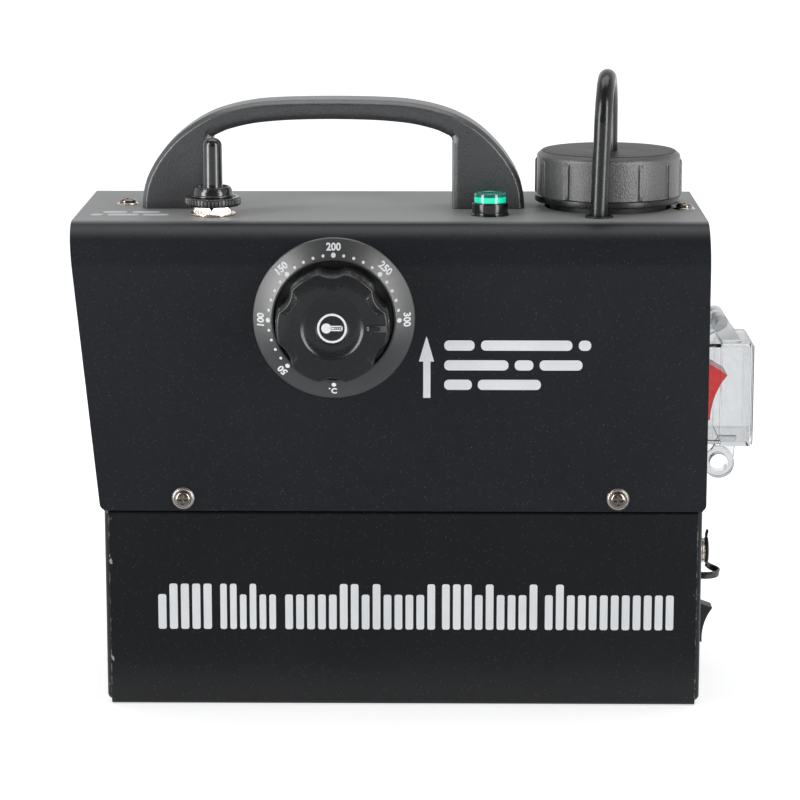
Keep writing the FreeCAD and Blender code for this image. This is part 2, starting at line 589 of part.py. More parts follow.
def thermostat_knob():
    """Knob with six finger scallops, a raised pointer rib and a D-shaped bore."""
    base = 3.2
    knob = revolve([(0, base), (21.4, base), (22.6, base + 1.2), (23.3, 16.0), (23.0, 23.0),
                    (22.2, 25.0), (20.6, 25.9), (16.0, 26.3), (13.0, 26.4), (12.4, 25.7),
                    (6.6, 25.2), (6.2, 24.8), (0, 24.8)], DIAL_ORIGIN, FRONT)
    for k in range(6):
        angle = math.radians(30 + 60 * k)
        centre = (DIAL_X + 31.0 * math.cos(angle), -SHELL_Y - 8.5,
                  DIAL_Z + 31.0 * math.sin(angle))
        knob = knob.cut(cylinder(10.0, centre, FRONT, 25))
    rib = box(13.8, 23.0, -1.2, 1.2, 0, 0.9)
    rib.Placement = FreeCAD.Placement(V(DIAL_X, -SHELL_Y - 26.0, DIAL_Z),
                                      FreeCAD.Rotation(V(1, 0, 0), 90))
    knob = knob.fuse(rib)
    bore = cylinder(3.06, (DIAL_X, -SHELL_Y - 2, DIAL_Z), FRONT, 18)
    save("thermostat_knob", knob.cut(bore.cut(shaft_flat(-SHELL_Y - 7.2, 1.68))))


# ===========================================================================
# Toggle switch and pilot lamp on top: profiles are (radius, height)
# ===========================================================================
def toggle_switch_body():
    x, y, shoulder = TOGGLE_X, TOGGLE_Y, SHELL_TOP - SHEET - 3.0
    body = cylinder(6.0, (x, y, shoulder), Z_DIR, 13.0)
    body = body.fuse(box(x - 7, x + 7, y - 12, y + 12, shoulder - 20, shoulder))
    for dy in (-7, 7):
        body = body.fuse(box(x - 2.5, x + 2.5, y + dy - .4, y + dy + .4,
                             shoulder - 28, shoulder - 20))
    save("toggle_switch_body", body.cut(cone(4.2, 5.2, 9.8, x, y, shoulder + 4.8)))


def toggle_fasteners():
    """Washer, chamfered hex nut and knurled ring stacked on the shell."""
    x, y = TOGGLE_X, TOGGLE_Y
    save("toggle_washer", tube(9.5, 6.2, (x, y, SHELL_TOP), Z_DIR, 0.9))
    nut = hex_prism(9.05, 3.0, turn=30)
    nut = nut.common(cone(9.8, 8.2, 3.2)).cut(cylinder(6.1, (0, 0, -1), Z_DIR, 6))
    save("toggle_hex_nut", orient(nut, (x, y, SHELL_TOP + 0.95), Z_DIR))

    radius, depth, count = 11.7, 0.55, 48
    z0, z1 = SHELL_TOP + 4.0, SHELL_TOP + 7.7
    half_width = math.pi * radius / count * .55 / 2
    flutes = []
    for k in range(count):
        flute = box(radius - depth, radius + 2, -half_width, half_width, z0 - 1, z1 + 1)
        flute.rotate(V(0, 0, 0), V(0, 0, 1), 360 * k / count)
        flute.translate(V(x, y, 0))
        flutes.append(flute)
    ring = tube(radius, 6.1, (x, y, z0), Z_DIR, z1 - z0)
    save("toggle_knurled_ring", ring.cut(Part.makeCompound(flutes)))


def toggle_lever_and_boot():
    x, y, pivot_z = TOGGLE_X, TOGGLE_Y, 206.0
    save("toggle_boot_collar", revolve([
        (6.3, 0), (8.6, 0), (8.6, 2.4), (8.1, 3.6), (7.3, 4.4), (6.9, 4.6), (6.5, 4.2),
        (6.3, 3.2)], (x, y, SHELL_TOP + 7.75), Z_DIR))
    save("toggle_lever", cylinder(1.7, (x, y, pivot_z), Z_DIR, 24)
         .fuse(Part.makeSphere(2.6, V(x, y, pivot_z + 1.5))))
    finger = revolve([(0, 8.4), (4.1, 8.4), (4.1, 27.0), (3.7, 28.8), (2.6, 30.1), (1.0, 30.6),
                      (0, 30.6)], (x, y, pivot_z), Z_DIR)
    save("toggle_boot_finger", finger.cut(cylinder(1.75, (x, y, pivot_z), Z_DIR, 24.1)))


def pilot_lamp():
    """Bezel with a separate block low in its barrel, and the lens."""
    x, y, origin = LAMP_X, LAMP_Y, (LAMP_X, LAMP_Y, SHELL_TOP)
    bezel = revolve([(5.0, -24), (6.2, -24), (6.2, 0.05), (7.95, 0.05), (7.95, 0.7), (7.6, 1.0),
                     (7.6, 5.2), (7.2, 5.6), (6.75, 5.6), (6.75, 2.0), (5.0, 2.0)],
                    origin, Z_DIR)
    save("pilot_lamp_bezel", bezel,
         box(x - 3, x + 3, y - 3, y + 3, SHELL_TOP - 23, SHELL_TOP - 16))
    save("pilot_lamp_lens", revolve([
        (0, 7.6), (4.0, 7.9), (5.2, 8.6), (5.9, 9.5), (6.5, 9.5), (6.65, 9.2), (6.65, 2.1),
        (4.9, 2.1), (4.9, -6), (0, -6)], origin, Z_DIR))


# ===========================================================================
# Fluid tank, cap and hose
# ===========================================================================
def fluid_tank():
    """Rounded hollow tank with a neck on the cap axis."""
    x0, x1, y0, y1, z0, z1 = 54.0, 121.0, -29.0, 57.0, 148.0, 195.0
    wall, neck_top = 2, 223.0
    tank = fillet(box(x0, x1, y0, y1, z0, z1), 4.0, lambda edge: True)
    tank = tank.fuse(cylinder(25.0, (CAP_X, CAP_Y, z1 - 4), Z_DIR, neck_top - z1 + 4))
    inner = fillet(box(x0 + wall, x1 - wall, y0 + wall, y1 - wall, z0 + wall, z1 - wall),
                   2.5, lambda edge: True)
    inner = inner.fuse(cylinder(22.5, (CAP_X, CAP_Y, z1 - 6), Z_DIR, 50))
    save("fluid_tank", tank.cut(inner))


def tank_cap():
    """Hollow cap with a ribbed skirt and a foot flange, and the liner under its roof."""
    base_z, rib_count, rib_turn = SHELL_TOP + 2.7, 12, 67.1
    cap = revolve([(31.5, 0), (31.5, 2.6), (30.7, 3.0), (30.7, 19.4), (30.2, 20.8), (29.0, 21.7),
                   (3.9, 21.7), (3.9, 18.7), (26.6, 18.7), (26.6, 0)],
                  (CAP_X, CAP_Y, base_z), Z_DIR)
    ribs = []
    for k in range(rib_count):
        rib = box(30.3, 31.5, -0.7, 0.7, base_z + 2.6, base_z + 18.2)
        rib.rotate(V(0, 0, 0), V(0, 0, 1), 360.0 * k / rib_count - rib_turn)
        rib.translate(V(CAP_X, CAP_Y, 0))
        ribs.append(rib)
    save("tank_cap", cap.fuse(ribs))
    save("cap_liner", revolve([(3.9, 0), (26.2, 0), (26.2, 1.2), (3.9, 1.2)],
                              (CAP_X, CAP_Y, base_z + 17.4), Z_DIR))


def fluid_hose():
    """Hose from the tank up through the cap, over, and down through the shell to the pump."""
    bend = (CAP_Y - HOSE_Y) / 2
    top = 242.2 + bend + .4
    save("fluid_hose", pipe([
        (CAP_X, CAP_Y, 156.0), (CAP_X, CAP_Y, top, bend), (83.4, HOSE_Y, top, bend),
        (HOSE_X, HOSE_Y, 204.0, 60.0), (81.9, -37.0, 150.0, 20.0), (89.5, -28.0, 108.0, 16.0),
        (86.0, 0, PUMP_Z, 14.0), (66.5, 0, PUMP_Z)], 3.75, 2.3))
    under = -SHEET - .05
    save("hose_grommet", revolve([
        (3.85, -2.4), (6.3, -2.4), (6.3, under), (4.9, under), (4.9, 0.03), (6.0, 0.03),
        (5.6, 0.8), (3.85, 0.8)], (HOSE_X, HOSE_Y, SHELL_TOP), Z_DIR))
    # filter with a hairline slit round it and a socket for the hose end
    pickup = revolve([(0, 0), (6, 0), (6, 6.6), (4.6, 8), (2.25, 8), (2.25, 3), (0, 3)],
                     (CAP_X, CAP_Y, 150.2), Z_DIR)
    pickup = pickup.cut(tube(9, 3.7, (CAP_X, CAP_Y, 155.8), Z_DIR, 0.001))
    save("pickup_filter", pickup.cut(cylinder(3.8, (CAP_X, CAP_Y, 155.9), Z_DIR, 5)))


# ===========================================================================
# Pump, along X
# ===========================================================================
def pump():
    # stepped tube after its main barrel: (outer radius, bore radius, start x, length)
    steps = [(7.0, 2.0, 8, 6), (3.2, 2.0, 3.2, 5), (7.0, 1.2, 60, 4), (2.25, 1.2, 64, 6)]
    barrel = tube(7.0, 5.1, (14, 0, PUMP_Z), X_DIR, 46)
    for outer, bore, x, length in steps:
        barrel = barrel.fuse(tube(outer, bore, (x, 0, PUMP_Z), X_DIR, length))
    save("pump_tube", barrel)

    coil = box(18, 54, -17, 17, PUMP_Z - 15, PUMP_Z + 15)
    coil = coil.cut(cylinder(7.1, (0, 0, PUMP_Z), X_DIR, 80))
    coil = fillet(coil, 2.0, lambda edge: along_x(edge) and abs(edge.CenterOfMass.y) > 10)
    save("pump_coil", coil.fuse(box(30, 42, -4, 4, PUMP_Z + 14, PUMP_Z + 22)))

    bracket = box(18, 54, -24, 24, STAND_Z, STAND_Z + 1.5)
    bracket = bracket.fuse(box(18, 20, -24, 24, STAND_Z, 94))
    bracket = bracket.fuse(box(52, 54, -24, 24, STAND_Z, 94))
    save("pump_bracket", bracket.fuse(box(18, 54, -12, 12, 93.0, 94.9)))
    save("pump_plunger", cylinder(5.03, (27, 0, PUMP_Z), X_DIR, 24)
         .cut(cylinder(1.5, (20, 0, PUMP_Z), X_DIR, 40)))


def pump_spring():
    turns, per_turn, radius, advance = 4, 10, 4.0, 0.22
    path = []
    for k in range(turns * per_turn + 1):
        angle = 2 * math.pi * k / per_turn
        path.append((14.6 + advance * k, radius * math.cos(angle),
                     PUMP_Z + radius * math.sin(angle)))
    save("pump_spring", pipe(path, 0.45, bend=3.6))


# ===========================================================================
# Heater and nozzle
# ===========================================================================
ELEMENT_Y, ELEMENT_Z = (-15, 15), 108.5
BULB_Y, BULB_Z = -15, 127


def heater_block():
    """Block bored for fog channel, nozzle, inlet, two elements and sensing bulb."""
    block = fillet(box(HEATER_X0, HEATER_X1, -24, 24, 101, 135), 1.5, along_x)
    # (radius, start x, y, z, length)
    bores = [(2.0, HEATER_X0 - 1, 0, NOZZLE_Z, 100), (6.03, HEATER_X0 - 1, 0, NOZZLE_Z, 13),
             (5.03, HEATER_X1 - 8, 0, NOZZLE_Z, 9)]
    bores += [(4.1, HEATER_X1 - 78, y, ELEMENT_Z, 90) for y in ELEMENT_Y]
    bores.append((3.1, HEATER_X1 - 62, BULB_Y, BULB_Z, 70))
    for radius, x, y, z, length in bores:
        block = block.cut(cylinder(radius, (x, y, z), X_DIR, length))
    save("heater_block", block)


def heater_fittings():
    """Elements, insulation sleeve, brackets and the thermal cutout."""
    end = HEATER_X1
    save("heater_elements", *[cylinder(4.0, (end - 76, y, ELEMENT_Z), X_DIR, 80)
                              .fuse(cylinder(1.0, (end + 4, y, ELEMENT_Z), X_DIR, 6))
                              for y in ELEMENT_Y])
    sleeve = fillet(box(-104, -32, -33, 33, 92.5, 143.5), 4.0, along_x)
    save("heater_insulation", sleeve.cut(box(-120, -20, -24.3, 24.3, 100.7, 135.3)))
    save("heater_brackets", *[box(x, x + 1.5, -22, 22, STAND_Z, 100.9)
                              .fuse(box(x, x + foot, -22, 22, STAND_Z, STAND_Z + 1.5))
                              for x, foot in ((-109.0, 4.2), (-29.0, 4.5))])
    cutout = cylinder(8.0, (end + .05, 15.0, 126.5), X_DIR, 5)
    for y in (10.4, 18.8):
        cutout = cutout.fuse(box(end + 5, end + 11, y, y + 0.8, 124, 129))
    save("thermal_cutout", cutout)


def heater_feed():
    """Inlet fitting with a hex collar, and the tube joining it to the pump."""
    end = HEATER_X1
    fitting = cylinder(5.0, (end - 7, 0, NOZZLE_Z), X_DIR, 7)
    fitting = fitting.fuse(orient(hex_prism(6.6, 5), (end + 0.1, 0, NOZZLE_Z), X_DIR))
    fitting = fitting.fuse(cylinder(5.0, (end - .5, 0, NOZZLE_Z), X_DIR, 2))
    fitting = fitting.fuse(cylinder(3.0, (end + 5, 0, NOZZLE_Z), X_DIR, 4))
    save("heater_inlet_fitting", fitting.cut(cylinder(1.6, (end - 10, 0, NOZZLE_Z), X_DIR, 30)))
    save("heater_feed_tube", pipe([(end + 5.4, 0, NOZZLE_Z), (-11.0, 0, NOZZLE_Z, 8.0),
                                   (0.0, 0, PUMP_Z, 8.0), (7.6, 0, PUMP_Z)], 4.6, 3.25))


def fog_nozzle():
    """Nozzle with a flared mouth, and the trim ring square to the slanted end."""
    tip_x = -134.0
    nozzle = cylinder(6.0, (HEATER_X0, 0, NOZZLE_Z), X_DIR, 11.8)
    nozzle = nozzle.fuse(cylinder(8.0, (tip_x, 0, NOZZLE_Z), X_DIR, HEATER_X0 - 0.1 - tip_x))
    nozzle = nozzle.cut(cylinder(2.0, (-140, 0, NOZZLE_Z), X_DIR, 60))
    mouth = Part.makeCone(6.0, 2.0, 9.0, V(tip_x - 0.1, 0, NOZZLE_Z), V(*X_DIR))
    save("fog_nozzle", nozzle.cut(mouth))
    save("nozzle_ring", revolve([
        (9.4, 0), (17.5, 0), (17.5, 0.8), (16.6, 1.5), (11.4, 2.3), (10.4, 2.3), (9.4, 1.6)],
        (end_x(NOZZLE_Z, SHEET) - 0.02, 0, NOZZLE_Z), (-1, 0, -END_SLOPE)))


# ===========================================================================
# Control board, wiring and capillary
# ===========================================================================
def board_and_wiring():
    top = 94.6
    board = box(20, 92, 24, 56, 93, top)
    for component in (box(26, 40, 28, 42, top, 108), box(46, 56, 30, 40, top, 112),
                      cylinder(5, (66, 34, top), Z_DIR, 16),
                      cylinder(5, (78, 34, top), Z_DIR, 16), box(30, 84, 48, 54, top, 103)):
        board = board.fuse(component)
    for x in (24, 88):
        for y in (27.5, 52.5):
            board = board.fuse(cylinder(2.6, (x, y, STAND_Z), Z_DIR, 7.8))
    save("control_board", board)

    wires = [
        pipe([(104, 44, 70), (104, 44, 84), (104, 43, 96), (98, 43, 102), (92.6, 43, 98.2)], 2.0),
        pipe([(94.5, 4, 124), (91, 8, 122), (88, 22, 112), (84, 34, 104), (84, 44.5, 99)], 1.6),
        pipe([(-13, 16, 109), (-8, 22, 106), (6, 34, 104), (18, 42, 101), (25.4, 42, 101)], 1.6),
        pipe([(-28, -24, 163), (-20, 0, 160), (0, 30, 140), (30, 42, 118), (33, 40, 108.6)], 1.6)]
    # trim each wire against the board and keep its largest piece
    save("wiring_loom", *[max(wire.cut(board).Solids, key=lambda solid: solid.Volume)
                          for wire in wires])


def thermostat_capillary():
    """Sensing bulb in the heater block and the fine tube up to the thermostat."""
    end = HEATER_X1
    bulb = cylinder(3.0, (end - 60, BULB_Y, BULB_Z), X_DIR, 58)
    save("thermostat_capillary", bulb.fuse(pipe([
        (end - 2.2, BULB_Y, BULB_Z), (end + 6, BULB_Y, BULB_Z), (end + 13, -18, 136),
        (end + 10, -22, 148), (-24, -27, 152.6), (-28.4, -31, 153.4), (-28.4, -34.75, 153.5)],
        0.9)))


for build in (battery_case_wrap, battery_case_tray, case_screws_below, battery_pack,
              charge_socket, dust_cap, rocker_switches, switch_cover_base, switch_cover_lid,
              cover_hinge_pin, upper_chassis, upper_shell, shell_screws, carry_handle,
              dial_bezel, thermostat_body, thermostat_shaft, thermostat_knob,
              toggle_switch_body, toggle_fasteners, toggle_lever_and_boot, pilot_lamp,
              fluid_tank, tank_cap, fluid_hose, pump, pump_spring, heater_block,
              heater_fittings, heater_feed, fog_nozzle, board_and_wiring,
              thermostat_capillary):
    build()
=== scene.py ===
# A portable battery-powered fog machine. It stands on the floor with +Z up; the dial, the
# printed panels and the camera's side are at -Y, and the charge socket's dust cap is at +X.
# Mesh sizes are in millimetres; shader, light and camera sizes are in metres.
import math
import random

import bmesh
import bpy
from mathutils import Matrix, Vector


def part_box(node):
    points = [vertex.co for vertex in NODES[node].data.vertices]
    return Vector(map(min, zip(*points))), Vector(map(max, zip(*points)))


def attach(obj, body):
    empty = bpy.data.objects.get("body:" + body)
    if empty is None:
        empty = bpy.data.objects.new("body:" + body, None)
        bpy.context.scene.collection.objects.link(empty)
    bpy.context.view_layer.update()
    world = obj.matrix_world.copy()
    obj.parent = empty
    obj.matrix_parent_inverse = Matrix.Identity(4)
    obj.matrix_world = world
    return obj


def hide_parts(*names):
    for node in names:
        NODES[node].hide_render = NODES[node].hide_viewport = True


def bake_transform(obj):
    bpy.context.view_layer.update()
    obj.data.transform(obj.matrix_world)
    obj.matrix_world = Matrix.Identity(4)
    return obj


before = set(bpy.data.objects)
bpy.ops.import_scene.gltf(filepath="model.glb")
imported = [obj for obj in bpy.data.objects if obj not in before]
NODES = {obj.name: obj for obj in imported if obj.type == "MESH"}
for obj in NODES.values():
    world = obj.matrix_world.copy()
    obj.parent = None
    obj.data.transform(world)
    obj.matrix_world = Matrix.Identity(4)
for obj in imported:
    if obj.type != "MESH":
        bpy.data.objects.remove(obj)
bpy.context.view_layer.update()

MM = 0.001
random.seed(11)
D = bpy.data


# ---------------------------------------------------------------------------
# places taken from the CAD pieces, in mm
# ---------------------------------------------------------------------------
def box(node):
    """Low and high corners of a CAD piece."""
    low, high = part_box(node)
    return [v / MM for v in low], [v / MM for v in high]


def middle(node):
    return [(a + b) / 2 for a, b in zip(*box(node))]


SHELL_FRONT_Y = box("upper_shell")[0][1]
SHELL_TOP_Z = box("upper_shell")[1][2]
CASE_FRONT_Y = box("battery_case_wrap")[0][1]
DIAL_X, _, DIAL_Z = middle("dial_bezel")
DIAL_ORIGIN = (DIAL_X, SHELL_FRONT_Y, DIAL_Z)
TOGGLE_X, TOGGLE_Y, _ = middle("toggle_washer")
LAMP_X, LAMP_Y, _ = middle("pilot_lamp_bezel")
CAP_X, CAP_Y, _ = middle("tank_cap")
CAP_FOOT_Z = box("tank_cap")[0][2]
DUST_CAP_X = box("dust_cap")[0][0] + 1.6
SOCKET_Z = middle("charge_socket")[2]
PANEL_X = box("battery_case_tray")[1][0]
PRINT_GAP = 0.02     # clearance between a surface and the print on it


# ---------------------------------------------------------------------------
# shader helpers
# ---------------------------------------------------------------------------
SHADERS = {}
INPUTS = {
    "color": "Base Color", "rough": "Roughness", "metal": "Metallic", "ior": "IOR",
    "specular": "Specular IOR Level", "transmission": "Transmission Weight",
    "coat": "Coat Weight", "coat_rough": "Coat Roughness", "normal": "Normal",
    "sheen": "Sheen Weight", "sheen_rough": "Sheen Roughness",
    "subsurface": "Subsurface Weight", "glow": "Emission Color",
    "glow_strength": "Emission Strength",
}


def shade(color, factor, lift=0.0):
    """A colour scaled and lifted, held at 1."""
    return tuple(min(1, c * factor + lift) for c in color)


class Shader:
    """A material with one Principled shader, and short ways to add nodes to it."""

    def __init__(self, name):
        self.material = D.materials.new(name)
        self.material.use_nodes = True
        self.tree = self.material.node_tree
        self.tree.nodes.clear()
        self.output = self.node("ShaderNodeOutputMaterial")
        self.principled = self.node("ShaderNodeBsdfPrincipled")
        self.link(self.principled.outputs[0], self.output.inputs["Surface"])
        self.position = self.node("ShaderNodeTexCoord").outputs["Object"]
        SHADERS[name] = self

    def node(self, kind, **properties):
        node = self.tree.nodes.new(kind)
        for key, value in properties.items():
            setattr(node, key, value)
        return node

    def link(self, source, target):
        self.tree.links.new(source, target)

    def feed(self, socket, value):
        """Link a socket, or set a number or an RGB colour."""
        if isinstance(value, bpy.types.NodeSocket):
            self.link(value, socket)
        else:
            socket.default_value = value + (1.0,) if isinstance(value, tuple) else value

    def set(self, **values):
        for key, value in values.items():
            self.feed(self.principled.inputs[INPUTS[key]], value)

    def noise(self, scale, detail=3.0, roughness=0.55, vector=None, distortion=0.0):
        node = self.node("ShaderNodeTexNoise")
        self.link(vector or self.position, node.inputs["Vector"])
        node.inputs["Scale"].default_value = scale
        node.inputs["Detail"].default_value = detail
        node.inputs["Roughness"].default_value = roughness
        node.inputs["Distortion"].default_value = distortion
        return node.outputs["Fac"]

    def voronoi(self, scale, output="Distance"):
        node = self.node("ShaderNodeTexVoronoi")
        self.link(self.position, node.inputs["Vector"])
        node.inputs["Scale"].default_value = scale
        return node.outputs[output]

    def stretched(self, scale, rotation=(0, 0, 0)):
        """Coordinates scaled by axis, which turn noise into streaks."""
        node = self.node("ShaderNodeMapping")
        self.link(self.position, node.inputs[0])
        node.inputs["Scale"].default_value = scale
        node.inputs["Rotation"].default_value = rotation
        return node.outputs[0]

    def math(self, operation, a, b=0.0):
        node = self.node("ShaderNodeMath", operation=operation)
        for socket, value in zip(node.inputs, (a, b, 0.0)):
            self.feed(socket, value)
        return node.outputs[0]

    def times(self, a, b):
        return self.math("MULTIPLY", a, b)

    def plus(self, a, b):
        return self.math("ADD", a, b)

    def ramp(self, value, span, to=(0.0, 1.0), smooth=False):
        """Map the range `span` of a value onto the range `to`."""
        kind = "SMOOTHSTEP" if smooth else "LINEAR"
        node = self.node("ShaderNodeMapRange", interpolation_type=kind)
        self.link(value, node.inputs["Value"])
        for key, number in zip(("From Min", "From Max", "To Min", "To Max"), span + to):
            node.inputs[key].default_value = number
        return node.outputs[0]

    def mix(self, factor, a, b):
        """Colour a where the factor is 0, b where it is 1."""
        node = self.node("ShaderNodeMix", data_type="RGBA")
        for index, value in ((0, factor), (6, a), (7, b)):
            self.feed(node.inputs[index], value)
        return node.outputs[2]

    def split(self, vector):
        node = self.node("ShaderNodeSeparateXYZ")
        self.link(vector, node.inputs[0])
        return node.outputs

    def z_ramp(self, kind, output, span):
        """Ramp over the Z part of a new source node's output."""
        return self.ramp(self.split(self.node(kind).outputs[output])[2], span)

    def tint(self, factor, color):
        """Lay a colour over the present base colour."""
        base = self.principled.inputs["Base Color"].links[0].from_socket
        self.set(color=self.mix(factor, base, color))

    def bump(self, height, strength, distance, normal=None):
        node = self.node("ShaderNodeBump")
        node.inputs["Strength"].default_value = strength
        node.inputs["Distance"].default_value = distance
        self.link(height, node.inputs["Height"])
        if normal is not None:
            self.link(normal, node.inputs["Normal"])
        return node.outputs[0]

    def bevel(self, radius):
        node = self.node("ShaderNodeBevel", samples=4)
        node.inputs["Radius"].default_value = radius
        return node.outputs[0]

    def edge(self, radius, span):
        """1 near edges, from the difference between rounded and plain normals."""
        dot = self.node("ShaderNodeVectorMath", operation="DOT_PRODUCT")
        self.link(self.bevel(radius), dot.inputs[0])
        self.link(self.node("ShaderNodeNewGeometry").outputs["Normal"], dot.inputs[1])
        return self.ramp(self.math("SUBTRACT", 1.0, dot.outputs["Value"]), span)


# ---------------------------------------------------------------------------
# materials
# ---------------------------------------------------------------------------
def powder_coat(name, base, chip_color, fold_x=None):
    """Textured black coat: dust specks, rub marks, worn sheet edges, and dust plus painted light
    on top faces.
    """
    mat = Shader(name)
    fine = mat.noise(scale=1500, detail=4, roughness=0.62)
    medium = mat.noise(scale=520, detail=2, roughness=0.5)
    cloud = mat.noise(scale=14, detail=3, roughness=0.6)
    height = mat.plus(mat.times(fine, 0.6), mat.times(medium, 0.5))
    color = mat.mix(mat.ramp(fine, (0.3, 0.72)), shade(base, 0.72), shade(base, 1.45))
    rubbed = mat.times(mat.ramp(cloud, (0.42, 0.7)), 0.35)
    color = mat.mix(rubbed, color, shade(base, 1.7))

    # dust specks: small cells, only some of them lit, in a coarse and a fine size
    def lit_cells(scale, size, share):
        """Specks, and the random channels of their cells; `size` may use the channels."""
        distance = mat.voronoi(scale)
        channels = mat.node("ShaderNodeSeparateColor")
        mat.link(mat.voronoi(scale, "Color"), channels.inputs[0])
        channels = channels.outputs
        if isinstance(size, tuple):
            size = mat.ramp(channels[1], (0.0, 1.0), size)
        inside = mat.math("LESS_THAN", distance, size)
        return mat.times(inside, mat.math("GREATER_THAN", channels[0], share)), channels

    coarse, channels = lit_cells(scale=420, size=(0.035, 0.085), share=0.76)
    strength = mat.ramp(channels[2], (0, 1), (0.12, 0.75))
    small, _ = lit_cells(scale=1000, size=0.20, share=0.80)
    color = mat.mix(mat.times(coarse, strength), color, (0.22, 0.235, 0.24))
    color = mat.mix(mat.times(small, 0.30), color, (0.16, 0.17, 0.18))

    # edges where the coat is thin, and chips in them
    edge = mat.edge(radius=0.0007, span=(0.03, 0.20))
    rub = mat.noise(scale=95, detail=5, roughness=0.7)
    worn = mat.times(edge, mat.ramp(rub, (0.60, 0.70)))
    color = mat.mix(mat.times(worn, 0.85), color, (0.17, 0.16, 0.15))
    flake = mat.noise(scale=60, detail=4, roughness=0.7, distortion=0.3)
    color = mat.mix(mat.times(edge, mat.ramp(flake, (0.69, 0.73))), color, chip_color)

    # faces that look up: paler from dust and from painted light; the sheen given them below is
    # painted light too
    up = mat.z_ramp("ShaderNodeNewGeometry", "Normal", (0.955, 0.998))
    powder = mat.noise(scale=900, detail=4, roughness=0.7)
    dust = mat.times(up, mat.ramp(powder, (0.25, 0.75), (0.55, 1.0)))
    color = mat.mix(dust, color, (0.100, 0.102, 0.106))
    rough = mat.ramp(fine, (0.25, 0.8), (0.30, 0.40))
    rough = mat.plus(rough, mat.times(mat.math("SUBTRACT", cloud, 0.5), 0.10))
    rough = mat.plus(rough, mat.times(up, 0.12))

    if fold_x is not None:
        # broken pale line and chips on the front, along the panel's folded ends
        x, y, _ = mat.split(mat.position)
        side = mat.math("ABSOLUTE", x)
        front = mat.math("LESS_THAN", y, -0.060)

        def near_fold(distance):
            offset = mat.math("ABSOLUTE", mat.math("SUBTRACT", side, fold_x))
            return mat.math("LESS_THAN", offset, distance)

        gaps = mat.noise(scale=210, detail=5, roughness=0.75)
        line = mat.times(mat.times(near_fold(0.00036), front), mat.ramp(gaps, (0.50, 0.57)))
        color = mat.mix(mat.times(line, 0.65), color, (0.17, 0.19, 0.20))
        flake = mat.noise(scale=130, detail=4, roughness=0.7, distortion=0.5)
        chips = mat.times(near_fold(0.0013), mat.times(front, mat.ramp(flake, (0.63, 0.65))))
        color = mat.mix(chips, color, (0.33, 0.34, 0.35))

    # painted light: sheen only on faces that look up brightens the top at low view angles
    mat.set(color=color, rough=rough, specular=0.29, sheen=mat.times(up, 0.52),
            sheen_rough=0.45, normal=mat.bump(height, strength=0.20, distance=0.00009))


def plastic(name, base, rough, grain, grain_scale, specular=0.5, coat=0.0, coat_rough=0.08,
            scratch=0.0, edge=0.25, tone=(0.8, 1.25), depth=0.00022, subsurface=0.0):
    """Moulded plastic, rubber or print.

    `grain` and `depth` are the bump's strength and distance, `tone` the darkest and
    lightest grain against the base, `edge` the paleness of rubbed edges (on the handle a
    painted highlight along its rims), and `scratch` the roughness that scratches add.
    """
    mat = Shader(name)
    grains = mat.noise(scale=grain_scale, detail=3, roughness=0.6)
    patches = mat.noise(scale=22, detail=3, roughness=0.6)
    color = mat.mix(mat.ramp(grains, (0.3, 0.7)), shade(base, tone[0]), shade(base, tone[1]))
    faded = mat.times(mat.ramp(patches, (0.45, 0.7)), 0.25)
    color = mat.mix(faded, color, shade(base, 1.6))
    # pale rubbed edges; on the handle, where `edge` is large, this paleness is a painted
    # highlight along the rims
    rim = mat.edge(radius=0.0005, span=(0.03, 0.25))
    worn = mat.times(rim, mat.ramp(mat.noise(scale=160, detail=4), (0.4, 0.7)))
    color = mat.mix(mat.times(worn, edge), color, shade(base, 4, lift=0.03))
    gloss = mat.plus(mat.ramp(grains, (0.3, 0.7), (rough - 0.05, rough + 0.05)),
                     mat.times(mat.math("SUBTRACT", patches, 0.5), 0.12))
    height = grains
    if grain > 0.2:
        height = mat.plus(mat.times(mat.voronoi(grain_scale * 0.62), 0.7), grains)
    if scratch:
        streaks = mat.stretched(scale=(1, 30, 30), rotation=(0.2, 0.5, 0.1))
        lines = mat.noise(scale=40, detail=3, roughness=0.7, vector=streaks)
        gloss = mat.plus(gloss, mat.times(mat.ramp(lines, (0.62, 0.68)), scratch))
    mat.set(color=color, rough=gloss, specular=specular, coat=coat, coat_rough=coat_rough,
            subsurface=subsurface, normal=mat.bump(height, grain, depth, mat.bevel(0.00022)))


def metal(name, base, rough, tarnish=None, scale=300, brushed=0.0):
    """Metal with patches of tarnish and fine pits; `scale` is the size of its unevenness."""
    mat = Shader(name)
    uneven = mat.noise(scale=scale, detail=4, roughness=0.6)
    patches = mat.noise(scale=60, detail=3, roughness=0.6)
    color = mat.mix(mat.ramp(patches, (0.35, 0.7)), base, tarnish or shade(base, 0.78))
    pits = mat.ramp(mat.noise(scale=1100, detail=2), (0.66, 0.74))
    color = mat.mix(mat.times(pits, 0.12), color, shade(base, 0.35))
    gloss = mat.ramp(uneven, (0.3, 0.75), (rough * 0.75, rough * 1.45))
    height = uneven
    if brushed:
        height = mat.noise(scale=120, detail=4, roughness=0.7,
                           vector=mat.stretched(scale=(1, 1, 40)))
    mat.set(color=color, rough=gloss, metal=1.0,
            normal=mat.bump(height, 0.05 + brushed, 0.0001, mat.bevel(0.00018)))


